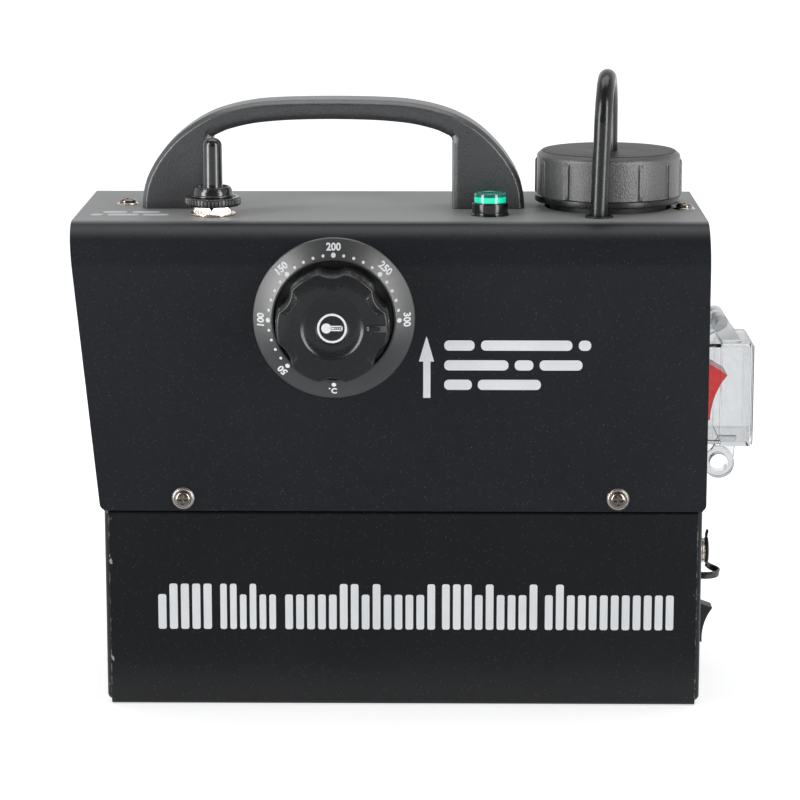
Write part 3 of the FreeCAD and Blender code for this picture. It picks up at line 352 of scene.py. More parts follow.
def clear_plastic():
    """Clear moulding, frosted above its base, with fine scratches and painted dark edges."""
    mat = Shader("clear_plastic")
    uneven = mat.noise(scale=220, detail=3)
    streaks = mat.stretched(scale=(1, 12, 30))
    scratches = mat.ramp(mat.noise(scale=60, detail=3, vector=streaks), (0.66, 0.70))
    rough = mat.plus(mat.ramp(uneven, (0.3, 0.7), (0.015, 0.05)), mat.times(scratches, 0.12))
    z = mat.split(mat.position)[2]
    frost = mat.times(mat.ramp(z, (0.1462, 0.1478)), 1.0)
    color = mat.mix(mat.ramp(uneven, (0.3, 0.7)), (0.720, 0.732, 0.740), (0.780, 0.790, 0.797))
    # painted shade: darker edges stand in for how the clear edges bend light
    edge = mat.times(mat.edge(radius=0.0006, span=(0.03, 0.25)), 0.75)
    color = mat.mix(edge, color, (0.46, 0.47, 0.49))
    waves = mat.noise(scale=45, detail=2)
    mat.set(color=color, rough=mat.plus(rough, mat.times(frost, 0.30)), transmission=1.0,
            ior=1.42, specular=0.32, normal=mat.bump(waves, 0.12, 0.0002, mat.bevel(0.0003)))
    # light passes to what is inside without hard shadows
    see_through = mat.node("ShaderNodeBsdfTransparent")
    mat.feed(see_through.inputs[0], (0.90, 0.905, 0.91))
    choice = mat.node("ShaderNodeMixShader")
    is_shadow = mat.node("ShaderNodeLightPath").outputs["Is Shadow Ray"]
    for socket, source in zip(choice.inputs, (is_shadow, mat.principled.outputs[0],
                                              see_through.outputs[0])):
        mat.link(source, socket)
    mat.link(choice.outputs[0], mat.output.inputs["Surface"])


def green_lens():
    """Glowing lens: bright body, darker raised rim."""
    mat = Shader("green_lens")
    z = mat.split(mat.position)[2]
    uneven = mat.noise(scale=400, detail=2)
    body = mat.ramp(z, (0.21165, 0.21215), (1.0, 0.0), smooth=True)
    foot = mat.ramp(z, (0.2094, 0.2102), (0.75, 1.0))
    color = mat.mix(body, (0.0, 0.13, 0.095), (0.0, 0.78, 0.44))
    spots = mat.times(mat.ramp(uneven, (0.4, 0.6)), 0.10)
    mat.set(color=mat.mix(spots, color, (0.01, 0.45, 0.32)), rough=0.07, specular=0.5, coat=0.7,
            glow=mat.mix(body, (0.0, 0.07, 0.055), (0.0, 0.66, 0.40)),
            glow_strength=mat.times(foot, 0.66),
            normal=mat.bump(uneven, strength=0.02, distance=0.0001))


def red_rocker_plastic():
    """Glowing red with painted light and shade: brighter on faces along Y, darker on faces
    turned to +X.
    """
    mat = Shader("red_rocker_plastic")
    uneven = mat.noise(scale=500, detail=3)
    normal = mat.split(mat.node("ShaderNodeNewGeometry").outputs["Normal"])
    # painted light and shade: faces along Y get brighter colour and glow, faces turned to +X
    # darker
    side = mat.ramp(mat.math("ABSOLUTE", normal[1]), (0.4, 0.9))
    right = mat.ramp(normal[0], (0.12, 0.45))
    color = mat.mix(side, (0.44, 0.002, 0.005), (0.86, 0.016, 0.012))
    color = mat.mix(right, color, (0.30, 0.001, 0.004))
    patches = mat.times(mat.ramp(uneven, (0.35, 0.7)), 0.2)
    color = mat.mix(patches, color, (0.42, 0.01, 0.01))
    streaks = mat.ramp(mat.noise(scale=260, detail=2), (0.55, 0.7))
    color = mat.mix(mat.times(streaks, 0.15), color, (0.95, 0.2, 0.12))
    glow = mat.mix(side, (0.12, 0.0, 0.001), (0.55, 0.004, 0.002))
    mat.set(color=color, rough=mat.ramp(uneven, (0.3, 0.7), (0.12, 0.22)), specular=0.30,
            glow=mat.mix(right, glow, (0.05, 0.0, 0.0)), glow_strength=0.52,
            normal=mat.bump(uneven, 0.03, 0.0001, mat.bevel(0.0003)))


# name, base colour, roughness, other settings
METALS = [
    ("nickel_plate", (0.80, 0.74, 0.67), 0.20, dict(tarnish=(0.70, 0.62, 0.53), scale=1400)),
    ("dark_nickel_screw", (0.34, 0.29, 0.25), 0.17, dict(tarnish=(0.17, 0.14, 0.12))),
    ("zinc_steel", (0.62, 0.63, 0.64), 0.30, dict(brushed=0.06)),
    ("brass", (0.78, 0.57, 0.26), 0.24, dict(tarnish=(0.52, 0.36, 0.16))),
    ("copper_tube", (0.84, 0.46, 0.30), 0.26, dict(tarnish=(0.45, 0.24, 0.15))),
    ("cast_aluminium", (0.66, 0.67, 0.68), 0.42, dict(scale=700)),
]
PRINT = dict(specular=0.3, edge=0.0, tone=(0.94, 1.03))
# name, base colour, roughness, grain strength, grain scale, other settings
PLASTICS = [
    ("grained_black_plastic", (0.0120, 0.0128, 0.0142), 0.36, 0.55, 2100,
     dict(specular=1.0, edge=0.10, tone=(0.5, 1.9), depth=0.00018)),
    # edge=0.55 paints a highlight along the handle's rounded rims
    ("grained_handle_plastic", (0.0400, 0.0410, 0.0440), 0.32, 0.45, 1900,
     dict(specular=1.0, edge=0.55, tone=(0.32, 2.2), depth=0.00018)),
    ("grained_cap_plastic", (0.074, 0.074, 0.075), 0.34, 0.60, 2300,
     dict(specular=1.0, edge=0.8, tone=(0.30, 2.0), depth=0.00020)),
    ("satin_black_plastic", (0.0120, 0.0126, 0.0136), 0.24, 0.05, 1400,
     dict(specular=0.55, scratch=0.12)),
    ("dial_ring_plastic", (0.0120, 0.0125, 0.0135), 0.42, 0.14, 2200,
     dict(specular=1.0, coat=0.45, coat_rough=0.34, depth=0.00008, edge=0.0)),
    ("gloss_black_plastic", (0.006, 0.0063, 0.007), 0.14, 0.03, 600, dict(specular=0.55)),
    ("black_rubber", (0.0065, 0.0078, 0.0088), 0.20, 0.05, 800, dict(specular=0.9)),
    ("matt_black_rubber", (0.006, 0.0064, 0.0068), 0.42, 0.16, 900, dict(specular=0.42)),
    ("hose_rubber", (0.0050, 0.0058, 0.0068), 0.24, 0.04, 500,
     dict(specular=0.62, scratch=0.10)),
    ("white_print", (0.74, 0.76, 0.78), 0.55, 0.10, 1800, PRINT),
    ("white_dial_print", (0.86, 0.88, 0.90), 0.55, 0.10, 1800, PRINT),
    ("pointer_plastic", (0.075, 0.077, 0.080), 0.34, 0.20, 1400, dict(specular=0.6, edge=0.3)),
    ("tank_polythene", (0.62, 0.64, 0.60), 0.45, 0.08, 300, dict(subsurface=0.1)),
    ("ceramic_fibre", (0.66, 0.62, 0.54), 0.95, 0.9, 320,
     dict(specular=0.2, tone=(0.75, 1.15), depth=0.0008)),
    ("switch_body_plastic", (0.012, 0.012, 0.013), 0.36, 0.10, 900, {}),
    ("coil_tape", (0.42, 0.33, 0.05), 0.38, 0.2, 260, {}),
    ("cell_wrap", (0.03, 0.16, 0.36), 0.30, 0.04, 200, {}),
    ("circuit_board", (0.02, 0.13, 0.05), 0.35, 0.15, 600, {}),
    ("wire_insulation", (0.35, 0.03, 0.02), 0.40, 0.05, 300, {}),
    ("silicone_tube", (0.55, 0.52, 0.47), 0.35, 0.05, 300, dict(subsurface=0.35)),
    ("pale_pin_plastic", (0.52, 0.53, 0.54), 0.30, 0.06, 700, {}),
    ("cap_smooth_plastic", (0.0075, 0.0080, 0.0088), 0.30, 0.06, 900, dict(scratch=0.08)),
    ("cap_top_plastic", (0.0095, 0.0100, 0.0108), 0.44, 0.16, 1100, dict(specular=0.32)),
]


def make_materials():
    upper_coat, brown_chip = (0.0086, 0.0106, 0.0134), (0.30, 0.17, 0.10)
    powder_coat("powder_coat_upper", upper_coat, brown_chip)
    powder_coat("powder_coat_lower", (0.0056, 0.0063, 0.0074),
                chip_color=(0.34, 0.33, 0.32), fold_x=0.1232)
    powder_coat("powder_coat_chassis", upper_coat, brown_chip)
    for name, base, rough, settings in METALS:
        metal(name, base, rough, **settings)
    for name, base, rough, grain, grain_scale, settings in PLASTICS:
        plastic(name, base, rough, grain, grain_scale, **settings)
    # painted shade darkens the cap where it faces up, and a painted highlight makes it paler
    # near its foot
    cap = SHADERS["grained_cap_plastic"]
    cap.tint(cap.z_ramp("ShaderNodeNewGeometry", "Normal", (0.6, 0.95)), (0.017, 0.017, 0.018))
    cap.tint(cap.z_ramp("ShaderNodeTexCoord", "Object", (0.2097, 0.2092)),
             (0.150, 0.150, 0.152))
    # painted shade: the tank is darkened at its top, where it sits under the cap
    tank = SHADERS["tank_polythene"]
    tank.tint(tank.z_ramp("ShaderNodeTexCoord", "Object", (0.196, 0.1975)),
              (0.055, 0.055, 0.057))
    clear_plastic()
    green_lens()
    red_rocker_plastic()


# ---------------------------------------------------------------------------
# geometry helpers
# ---------------------------------------------------------------------------
def clamp(value):
    return max(0.0, min(1.0, value))


def ring_angles(count):
    return [math.tau * k / count for k in range(count)]


def wrap(angle):
    """The same angle between -pi and pi."""
    return (angle + math.pi) % math.tau - math.pi


def smooth_shading(mesh):
    mesh.polygons.foreach_set("use_smooth", [True] * len(mesh.polygons))


def make_object(name, verts, faces, material, body="root", slot=None, replaces=(), sharp=35,
                clean=True, scale=MM):
    """Mesh object that rides on `body`; None leaves it free. `sharp` is in degrees."""
    mesh = D.meshes.new(name)
    mesh.from_pydata([(x * scale, y * scale, z * scale) for x, y, z in verts], [], faces)
    mesh.validate()
    if clean:
        work = bmesh.new()
        work.from_mesh(mesh)
        bmesh.ops.remove_doubles(work, verts=work.verts, dist=2e-6)
        bmesh.ops.recalc_face_normals(work, faces=work.faces)
        work.to_mesh(mesh)
        work.free()
    smooth_shading(mesh)
    mesh.set_sharp_from_angle(angle=math.radians(sharp))
    mesh.materials.append(SHADERS[material].material)
    obj = D.objects.new(name, mesh)
    bpy.context.scene.collection.objects.link(obj)
    if body:
        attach(obj, body)
    if replaces:
        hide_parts(*replaces)
    return obj


def swing(start, end, turn, f):
    """Point at share f of the arc between two arms `turn` apart."""
    return (start * math.sin((1 - f) * turn) + end * math.sin(f * turn)) / math.sin(turn)


def soft_corners(points, closed=False, steps=4):
    """Round the corners (u, v, radius) of a 2-D line; without a radius a corner stays."""
    out, count = [], len(points)
    for i, point in enumerate(points):
        radius = point[2] if len(point) > 2 else 0
        corner = Vector((point[0], point[1]))
        if radius <= 0 or (not closed and i in (0, count - 1)):
            out.append((point[0], point[1]))
            continue
        before = Vector(points[i - 1][:2]) - corner
        after = Vector(points[(i + 1) % count][:2]) - corner
        room_before, room_after = before.length, after.length
        before.normalize()
        after.normalize()
        angle = math.acos(max(-1, min(1, before.dot(after))))
        if angle > math.pi - 0.01:
            out.append((point[0], point[1]))
            continue
        setback = min(radius / math.tan(angle / 2), 0.49 * room_before, 0.49 * room_after)
        radius = setback * math.tan(angle / 2)
        centre = corner + (before + after).normalized() * (radius / math.sin(angle / 2))
        start = corner + before * setback - centre
        end = corner + after * setback - centre
        for j in range(steps + 1):
            arm = swing(start, end, math.pi - angle, j / steps)
            out.append((centre.x + arm.x, centre.y + arm.y))
    return out


def catmull(points, per=8):
    """Smooth 2-D curve through points, `per` steps to each span."""
    out = []
    points = [Vector(p) for p in points]
    for i in range(len(points) - 1):
        p0 = points[i - 1] if i else points[0] * 2 - points[1]
        p1, p2 = points[i], points[i + 1]
        p3 = points[i + 2] if i + 2 < len(points) else points[-1] * 2 - points[-2]
        for k in range(per):
            t = k / per
            out.append(0.5 * ((2 * p1) + (p2 - p0) * t
                              + (2 * p0 - 5 * p1 + 4 * p2 - p3) * t * t
                              + (3 * p1 - p0 - 3 * p2 + p3) * t ** 3))
    out.append(points[-1])
    return out


def normals(line):
    """Unit normals of a 2-D line."""
    out = []
    for i in range(len(line)):
        along = (line[min(i + 1, len(line) - 1)] - line[max(i - 1, 0)]).normalized()
        out.append(Vector((-along.y, along.x)))
    return out


def round_rect(u0, u1, v0, v1, radius, steps=4):
    corners = [(u0, v0), (u1, v0), (u1, v1), (u0, v1)]
    return soft_corners([(u, v, radius) for u, v in corners], True, steps)


def disc(u, v, radius, count=20):
    return [(u + radius * math.cos(a), v + radius * math.sin(a)) for a in ring_angles(count)]


def band(start, end, count):
    """Quads between two rings of vertices that begin at indices start and end."""
    return [[start + k, start + (k + 1) % count, end + (k + 1) % count, end + k]
            for k in range(count)]


def capped_loft(sections, count):
    """Faces of a solid through `sections` rings of `count` vertices."""
    faces = []
    for i in range(sections - 1):
        faces += band(i * count, (i + 1) * count, count)
    last = (sections - 1) * count
    return faces + [list(range(count)), list(range(last, last + count))]


def on_axis(axis, origin, radius, angle, height):
    """Point at a radius, angle and height about an axis Z, -Y or X."""
    a, b = radius * math.cos(angle), radius * math.sin(angle)
    if axis == "Z":
        return (origin[0] + a, origin[1] + b, origin[2] + height)
    if axis == "-Y":
        return (origin[0] + a, origin[1] - height, origin[2] + b)
    return (origin[0] + height, origin[1] + a, origin[2] + b)


def lathe(name, profile, origin, axis, material, segments=96, closed=False, relief=None,
          angles=None, **options):
    """Turn a profile of (radius, height); relief(angle, radius, height) adds to the radius."""
    angles = angles or ring_angles(segments)
    count = len(angles)
    verts, faces, rings = [], [], []
    for radius, height in profile:
        if radius < 1e-6:
            rings.append([len(verts)] * count)
            verts.append(on_axis(axis, origin, 0, 0, height))
            continue
        rings.append(list(range(len(verts), len(verts) + count)))
        for angle in angles:
            extra = relief(angle, radius, height) if relief else 0.0
            verts.append(on_axis(axis, origin, radius + extra, angle, height))
    pairs = list(zip(rings, rings[1:])) + ([(rings[-1], rings[0])] if closed else [])
    for a, b in pairs:
        for k in range(count):
            j = (k + 1) % count
            face = list(dict.fromkeys([a[k], a[j], b[j], b[k]]))
            if len(face) > 2:
                faces.append(face)
    return make_object(name, verts, faces, material, **options)


def slabs(name, outlines, depth, place, material, **options):
    """Each 2-D outline becomes a slab; place(u, v, lift) puts it in space."""
    verts, faces = [], []
    for points in outlines:
        base, count = len(verts), len(points)
        verts += [place(u, v, 0.0) for u, v in points] + [place(u, v, depth) for u, v in points]
        faces.append([base + count + k for k in range(count)])
        faces += band(base, base + count, count)
    return make_object(name, verts, faces, material, sharp=30, **options)


# ---------------------------------------------------------------------------
# CAD pieces: materials and edge finish
# ---------------------------------------------------------------------------
def by_node(groups):
    """Turn {value: "node node ..."} into {node: value}."""
    return {node: value for value, nodes in groups.items() for node in nodes.split()}


NODE_MATERIALS = by_node({
    "powder_coat_upper": "upper_shell",
    "powder_coat_chassis": "upper_chassis",
    "powder_coat_lower": "battery_case_wrap battery_case_tray",
    "dark_nickel_screw": "case_screws",
    "nickel_plate": "screw_washers base_screws toggle_washer toggle_hex_nut toggle_lever "
                    "charge_socket charge_socket_nut",
    "zinc_steel": "case_joining_screws handle_screws thermostat_shaft pump_bracket "
                  "pump_spring pump_plunger heater_elements heater_brackets nozzle_ring",
    "brass": "pickup_filter pump_tube heater_inlet_fitting fog_nozzle",
    "copper_tube": "thermostat_capillary",
    "cast_aluminium": "heater_block thermal_cutout",
    "grained_black_plastic": "carry_handle tank_cap",
    "dial_ring_plastic": "dial_bezel",
    "satin_black_plastic": "thermostat_knob toggle_knurled_ring black_switch_housing",
    "gloss_black_plastic": "pilot_lamp_bezel",
    "switch_body_plastic": "thermostat_body toggle_switch_body red_switch_housing "
                           "battery_holders",
    "black_rubber": "toggle_boot_collar toggle_boot_finger",
    "matt_black_rubber": "hose_grommet dust_cap dust_cap_strap black_rocker",
    "hose_rubber": "fluid_hose",
    "silicone_tube": "cap_liner heater_feed_tube",
    "tank_polythene": "fluid_tank",
    "coil_tape": "pump_coil",
    "ceramic_fibre": "heater_insulation",
    "circuit_board": "control_board battery_monitor_board",
    "wire_insulation": "wiring_loom",
    "cell_wrap": "battery_cells",
    "green_lens": "pilot_lamp_lens",
    "red_rocker_plastic": "red_rocker",
    "clear_plastic": "switch_cover_base switch_cover_lid",
    "pale_pin_plastic": "cover_hinge_pin",
})
PLAIN_BEVEL = 0.00012
BEVEL_WIDTHS = by_node({
    0.00014: "case_screws",
    0.00015: "toggle_hex_nut toggle_washer",
    0.0002: "nozzle_ring fog_nozzle pump_bracket heater_brackets control_board "
            "charge_socket_nut",
    0.00025: "battery_case_tray upper_chassis",
    0.0003: "upper_shell battery_case_wrap red_switch_housing black_switch_housing",
    0.00035: "switch_cover_base",
    0.0004: "heater_block pump_coil battery_holders",
    0.00055: "switch_cover_lid",
    0.0007: "black_rocker",
    0.0010: "red_rocker",
})


def polish(obj, width, segments):
    """Modifiers that clean a CAD piece's facets and soften its edges."""
    weld = obj.modifiers.new("weld", "WELD")
    weld.merge_threshold = 2e-6
    planar = obj.modifiers.new("planar", "DECIMATE")
    planar.decimate_type = "DISSOLVE"
    planar.angle_limit = math.radians(2.0)
    bevel = obj.modifiers.new("bevel", "BEVEL")
    bevel.width = width
    bevel.segments = segments
    bevel.limit_method = "ANGLE"
    bevel.angle_limit = math.radians(38)
    bevel.use_clamp_overlap = True
    bevel.harden_normals = False
    bevel.miter_outer = "MITER_ARC"
    weighted = obj.modifiers.new("wn", "WEIGHTED_NORMAL")
    weighted.keep_sharp = True
    weighted.weight = 60


def finish_cad_pieces():
    for name, obj in NODES.items():
        obj.data.materials.clear()
        obj.data.materials.append(SHADERS[NODE_MATERIALS[name]].material)
        smooth_shading(obj.data)
        polish(obj, BEVEL_WIDTHS.get(name, PLAIN_BEVEL), segments=4 if "rocker" in name else 2)


def felt_insulation():
    """Ceramic fibre blanket: lumpy felt surface on the blanket's own shape."""
    blanket = NODES["heater_insulation"]
    remesh = blanket.modifiers.new("remesh", "REMESH")
    remesh.mode = "VOXEL"
    remesh.voxel_size = 0.0022
    remesh.use_smooth_shade = True
    lumps = D.textures.new("felt", "CLOUDS")
    lumps.noise_scale = 0.006
    displace = blanket.modifiers.new("felt", "DISPLACE")
    displace.texture = lumps
    displace.strength = -0.0009
    displace.mid_level = 0.3
    displace.texture_coords = "LOCAL"


# ---------------------------------------------------------------------------
# carry handle: an arch in the XZ plane, swept from the left foot to the right
# ---------------------------------------------------------------------------
HANDLE_FOOT_Z, HANDLE_LEG_TOP_Z = 204.25, 233.2
HANDLE_INNER_LEFT, HANDLE_INNER_RIGHT = -82.2, 20.4
# x, z of the outer line between the feet
HANDLE_OUTER = [
    (-111.6, 210.3), (-109.6, 217.6), (-104.9, 226.0), (-98.6, 233.4), (-91.7, 239.0),
    (-85.5, 242.8), (-79.0, 245.6), (-69.0, 248.2), (-56.0, 249.8), (-30.4, 250.4),
    (-4.8, 249.8), (8.2, 248.2), (18.2, 245.6), (24.8, 242.8), (31.1, 239.0),
    (37.6, 233.4), (43.9, 226.0), (48.8, 217.6), (50.8, 210.3),
]
# x, z of the underside of the arch
HANDLE_ARCH = [
    (-79.1, 236.0), (-74.6, 237.8), (-66.6, 239.8), (-58.7, 240.9), (-47.3, 241.7),
    (-30.9, 242.0), (-14.5, 241.7), (-3.1, 240.9), (4.8, 239.8), (12.8, 237.8), (17.3, 236.0),
]
# scale in x and in y, and z, of the rings that step in under each foot
HANDLE_SOLE = [(0.985, 0.975, 204.12), (0.93, 0.90, 204.12), (0.93, 0.90, 204.0)]


def running_length(line):
    lengths = [0.0]
    for a, b in zip(line, line[1:]):
        lengths.append(lengths[-1] + (b - a).length)
    return lengths


def resample(line, shares):
    """Points at the given shares of a line's length."""
    lengths = running_length(line)
    out = []
    for share in shares:
        distance = share * lengths[-1]
        i = 0
        while i < len(lengths) - 2 and lengths[i + 1] < distance:
            i += 1
        f = (distance - lengths[i]) / max(1e-9, lengths[i + 1] - lengths[i])
        out.append(line[i].lerp(line[i + 1], clamp(f)))
    return out


def handle_lines(low_x, high_x):
    """Matching stations on the inner and outer lines."""
    rise = HANDLE_LEG_TOP_Z - HANDLE_FOOT_Z
    inner = [Vector((HANDLE_INNER_LEFT, HANDLE_FOOT_Z + rise * k / 16)) for k in range(17)]
    inner += [Vector((-81.75, 234.5)), Vector((-80.6, 235.3))]
    inner += catmull(HANDLE_ARCH, 6)
    inner += [Vector((18.85, 235.3)), Vector((19.95, 234.5))]
    inner += [Vector((HANDLE_INNER_RIGHT, HANDLE_LEG_TOP_Z - rise * k / 16)) for k in range(17)]
    outer = catmull([(low_x, HANDLE_FOOT_Z)] + HANDLE_OUTER + [(high_x - 0.02, HANDLE_FOOT_Z)])

    # the leg's share of each line: the outer stations follow the inner ones with a warp,
    # so that each rib of the mesh runs square across the moulding
    inner_lengths = running_length(inner)
    inner_leg = 29.0 / inner_lengths[-1]
    outer_leg = 52.0 / running_length(outer)[-1]

    def warp(t):
        if t < inner_leg:
            return outer_leg * (t / inner_leg)
        if t > 1 - inner_leg:
            return 1 - outer_leg * ((1 - t) / inner_leg)
        return outer_leg + (1 - 2 * outer_leg) * (t - inner_leg) / (1 - 2 * inner_leg)

    return inner, resample(outer, [warp(v / inner_lengths[-1]) for v in inner_lengths])


def handle_section(inside, outside, inward, outward, middle_x, half_depth):
    """Closed ring round the moulding at one station."""
    # 0 on the legs, 1 on the arch
    on_arch = abs(inside.x - middle_x) < 52.5
    arch = clamp((inside.y - 233.0) / 4.0) if on_arch else 0.0
    leg = 1 - arch
    inner_break = 2.6 * leg + 3.6 * arch
    inner_drop = 0.75 * leg + 3.2 * arch
    chamfer = 2.1
    break_radius, break_turn = 1.35, math.radians(57)
    # from the middle of the outer rim to the face: (point, depth)
    half = [(outside, 0.0), (outside, 4.5), (outside, half_depth - 2.9),
            (outside - outward * 0.08, half_depth - 2.5),
            (outside - outward * 0.28, half_depth - 2.1)]
    # flat chamfer, then a round break turning into the face
    for q in range(8):
        a = break_turn * (1 - q / 7)
        half.append((outside - outward * (chamfer + 0.30 - break_radius * math.sin(a)),
                     half_depth - break_radius * (1 - math.cos(a))))
    face_start = outside - outward * (chamfer + 0.35)
    face_end = inside + inward * (inner_break + 0.35)
    for f in (0.25, 0.5, 0.75):
        half.append((face_start.lerp(face_end, f), half_depth))
    half.append((face_end, half_depth))
    # break from the face to the inner rim: round on the arch, flat on the legs
    for k in range(1, 7):
        f = k / 6
        if arch > 0.5:
            a = math.pi / 2 * k / 6
            width = inner_break * (1 - math.sin(a))
            drop = inner_drop * (1 - math.cos(a))
        else:
            width = inner_break * (1 - f)
            drop = inner_drop * min(1.0, f * 1.15) if k < 6 else inner_drop + 0.35
        half.append((inside + inward * width, half_depth - drop))
    half += [(inside, 3.5), (inside, 0.0)]
    front = [(p.x, -y, p.y) for p, y in half]
    return front + [(p.x, y, p.y) for p, y in reversed(half[1:-1])]


def carry_handle():
    low, high = box("carry_handle")
    middle_x = (low[0] + high[0]) / 2
    inner, outer = handle_lines(low[0], high[0])
    centre = Vector((middle_x, 215.0))
    rings = []
    for inside, outside, inward, outward in zip(inner, outer, normals(inner), normals(outer)):
        # both normals point from the opening outwards
        if not outward.dot(outside - centre) > 0:
            outward = -outward
        if not inward.dot(outside - inside) > 0:
            inward = -inward
        rings.append(handle_section(inside, outside, inward, outward, middle_x, high[1]))
    verts = [v for ring in rings for v in ring]
    count = len(rings[0])
    faces = []
    for i in range(len(rings) - 1):
        faces += band(i * count, (i + 1) * count, count)
    # a slightly smaller sole makes the dark joint line above the case
    for i in (0, len(rings) - 1):
        start = i * count
        foot_x = sum(v[0] for v in rings[i]) / count
        for scale_x, scale_y, sole_z in HANDLE_SOLE:
            end = len(verts)
            verts += [(foot_x + (x - foot_x) * scale_x, y * scale_y, sole_z)
                      for x, y, _ in rings[i]]
            faces += band(start, end, count)
            start = end
        faces.append([start + k for k in range(count)])
    make_object("carry_handle_moulding", verts, faces, "grained_handle_plastic",
                slot="black_grained_plastic", replaces=["carry_handle"], sharp=24)


# ---------------------------------------------------------------------------
# tank cap: narrow ribs, plain foot flange and rounded shoulder
# ---------------------------------------------------------------------------
RIB_COUNT = 12
RIB_ANGLES = [math.radians(360.0 * k / RIB_COUNT - 67.1) for k in range(RIB_COUNT)]
SKIRT_RADIUS = 30.7


def cap_angles():
    """Mesh angles, close together at each rib; degrees from the rib's middle."""
    near = (-3.2, -2.2, -1.75, -1.45, -1.15, -0.6, 0.6, 1.15, 1.45, 1.75, 2.2, 3.2)
    return sorted({round((rib + math.radians(d)) % math.tau, 6)
                   for rib in RIB_ANGLES for d in (*near, *range(5, 27, 2))})


def cap_profile():
    profile = soft_corners([
        (26.6, 0.0), (31.45, 0.0, 0.35), (31.45, 2.55, 0.5), (30.75, 2.95, 0.3),
        (SKIRT_RADIUS, 10.0), (SKIRT_RADIUS, 19.7, 1.9), (28.4, 21.6, 1.3), (15.0, 21.7),
        (3.9, 21.7, 0.3), (3.9, 18.7), (26.6, 18.7), (26.6, 0.0)], steps=5)
    # extra levels on the skirt for the rib ends
    levels = []
    for (r, h), (r2, h2) in zip(profile, profile[1:]):
        levels.append((r, h))
        on_skirt = abs(r - SKIRT_RADIUS) < 0.2 and abs(r2 - SKIRT_RADIUS) < 0.2
        if on_skirt and h2 > h and h2 - h > 2:
            for level in (3.4, 5.5, 8.0, 11.0, 14.0, 16.2, 16.9, 17.5, 18.0, 18.4):
                if h < level < h2:
                    levels.append((r + (r2 - r) * (level - h) / (h2 - h), level))
    return levels + [profile[-1]]


def cap_rib(angle, radius, height):
    """Rib with a shallow groove along each side."""
    if not (2.9 < height < 18.3 and radius > 30.3):
        return 0.0
    offset = math.degrees(min(abs(wrap(angle - rib)) for rib in RIB_ANGLES))
    width = clamp((1.78 - offset) / 0.62)
    width = width * width * (3 - 2 * width)
    ends = clamp((18.2 - height) / 1.1) * clamp((height - 2.7) / 0.5)
    groove = -0.16 * math.exp(-((offset - 2.3) / 0.5) ** 2)
    return 0.78 * width * ends + groove * ends


def tank_cap():
    cap = lathe("tank_cap_moulding", cap_profile(), (CAP_X, CAP_Y, CAP_FOOT_Z), "Z",
                "grained_cap_plastic", relief=cap_rib, angles=cap_angles(), body="screw_cap",
                slot="black_grained_plastic", replaces=["tank_cap"], sharp=50)
    # smooth zones: foot flange and top disc
    for name in ("cap_smooth_plastic", "cap_top_plastic"):
        cap.data.materials.append(SHADERS[name].material)
    for face in cap.data.polygons:
        height = face.center.z / MM - CAP_FOOT_Z
        if height < 2.9:
            face.material_index = 1
        elif height > 21.3:
            face.material_index = 2


# ---------------------------------------------------------------------------
# hose: from the cap up over a bend, down into the case
# ---------------------------------------------------------------------------
HOSE_BEND = 18.0
HOSE_TOP_Z = 242.2 + HOSE_BEND + 0.4
# x, y, z, bend radius
HOSE_POINTS = [
    (CAP_X, CAP_Y, 156.0), (CAP_X, CAP_Y, HOSE_TOP_Z, HOSE_BEND),
    (83.4, -36.0, HOSE_TOP_Z, HOSE_BEND), (81.7, -36.0, 204.0, 60.0),
    (81.9, -37.0, 150.0, 20.0), (89.5, -28.0, 108.0, 16.0), (86.0, 0, 110.0, 14.0),
    (66.5, 0, 110.0),
]


def bent_path(stations, bend_steps=18, longest=4):
    """Path with straights cut into short lengths and round bends."""
    points = [Vector(p[:3]) for p in stations]
    out = [points[0]]

    def straight(end, with_end):
        start = out[-1]
        pieces = int((end - start).length // longest) + 1
        for k in range(1, pieces + with_end):
            out.append(start.lerp(end, k / pieces))

    for i in range(1, len(points) - 1):
        back, ahead = points[i - 1] - points[i], points[i + 1] - points[i]
        room_back, room_ahead = back.length, ahead.length
        back.normalize()
        ahead.normalize()
        half = back.angle(ahead) / 2
        setback = min(stations[i][3] / math.tan(half),
                      0.499 * room_back if i > 1 else room_back,
                      room_ahead * 0.5 if i < len(points) - 2 else room_ahead)
        radius = setback * math.tan(half)
        centre = points[i] + (back + ahead).normalized() * (radius / math.sin(half))
        start = points[i] + back * setback - centre
        end = points[i] + ahead * setback - centre
        straight(points[i] + back * setback, with_end=False)
        turn = start.angle(end)
        out += [centre + swing(start, end, turn, k / bend_steps) for k in range(bend_steps + 1)]
    straight(points[-1], with_end=True)
    path = [out[0]]
    for point in out[1:]:
        if (point - path[-1]).length > 0.05:
            path.append(point)
    return path


def fluid_hose():
    outer_radius, bore_radius, count = 3.75, 2.3, 44
    path = bent_path(HOSE_POINTS)
    last = len(path) - 1
    verts, faces = [], []
    # the first length runs along Z, so X gives a square start for the section's axes
    u = (path[1] - path[0]).normalized().cross(Vector((1, 0, 0))).normalized()
    for i, point in enumerate(path):
        along = (path[min(i + 1, last)] - path[max(i - 1, 0)]).normalized()
        u = (u - along * u.dot(along)).normalized()
        w = along.cross(u)
        # the outside is very slightly uneven
        uneven = 1 + 0.006 * math.sin(i * 0.9) * math.sin(i * 0.23)
        for radius in (outer_radius * uneven, bore_radius):
            verts += [tuple(point + u * (radius * math.cos(a)) + w * (radius * math.sin(a)))
                      for a in ring_angles(count)]
    for i in range(last):
        for start in (2 * i * count, (2 * i + 1) * count):
            end = start + 2 * count
            for k in range(count):
                j = (k + 1) % count
                faces.append([start + k, end + k, end + j, start + j])
    for i in (0, last):
        faces += band(2 * i * count, (2 * i + 1) * count, count)
    make_object("fluid_hose_sweep", verts, faces, "hose_rubber", slot="black_rubber",
                replaces=["fluid_hose"], sharp=60)


# ---------------------------------------------------------------------------
# dial ring: sloped satin ring with a printed scale
# ---------------------------------------------------------------------------
DOT_CIRCLE = 26.95
DIAL_PRINT_DEPTH = 0.07


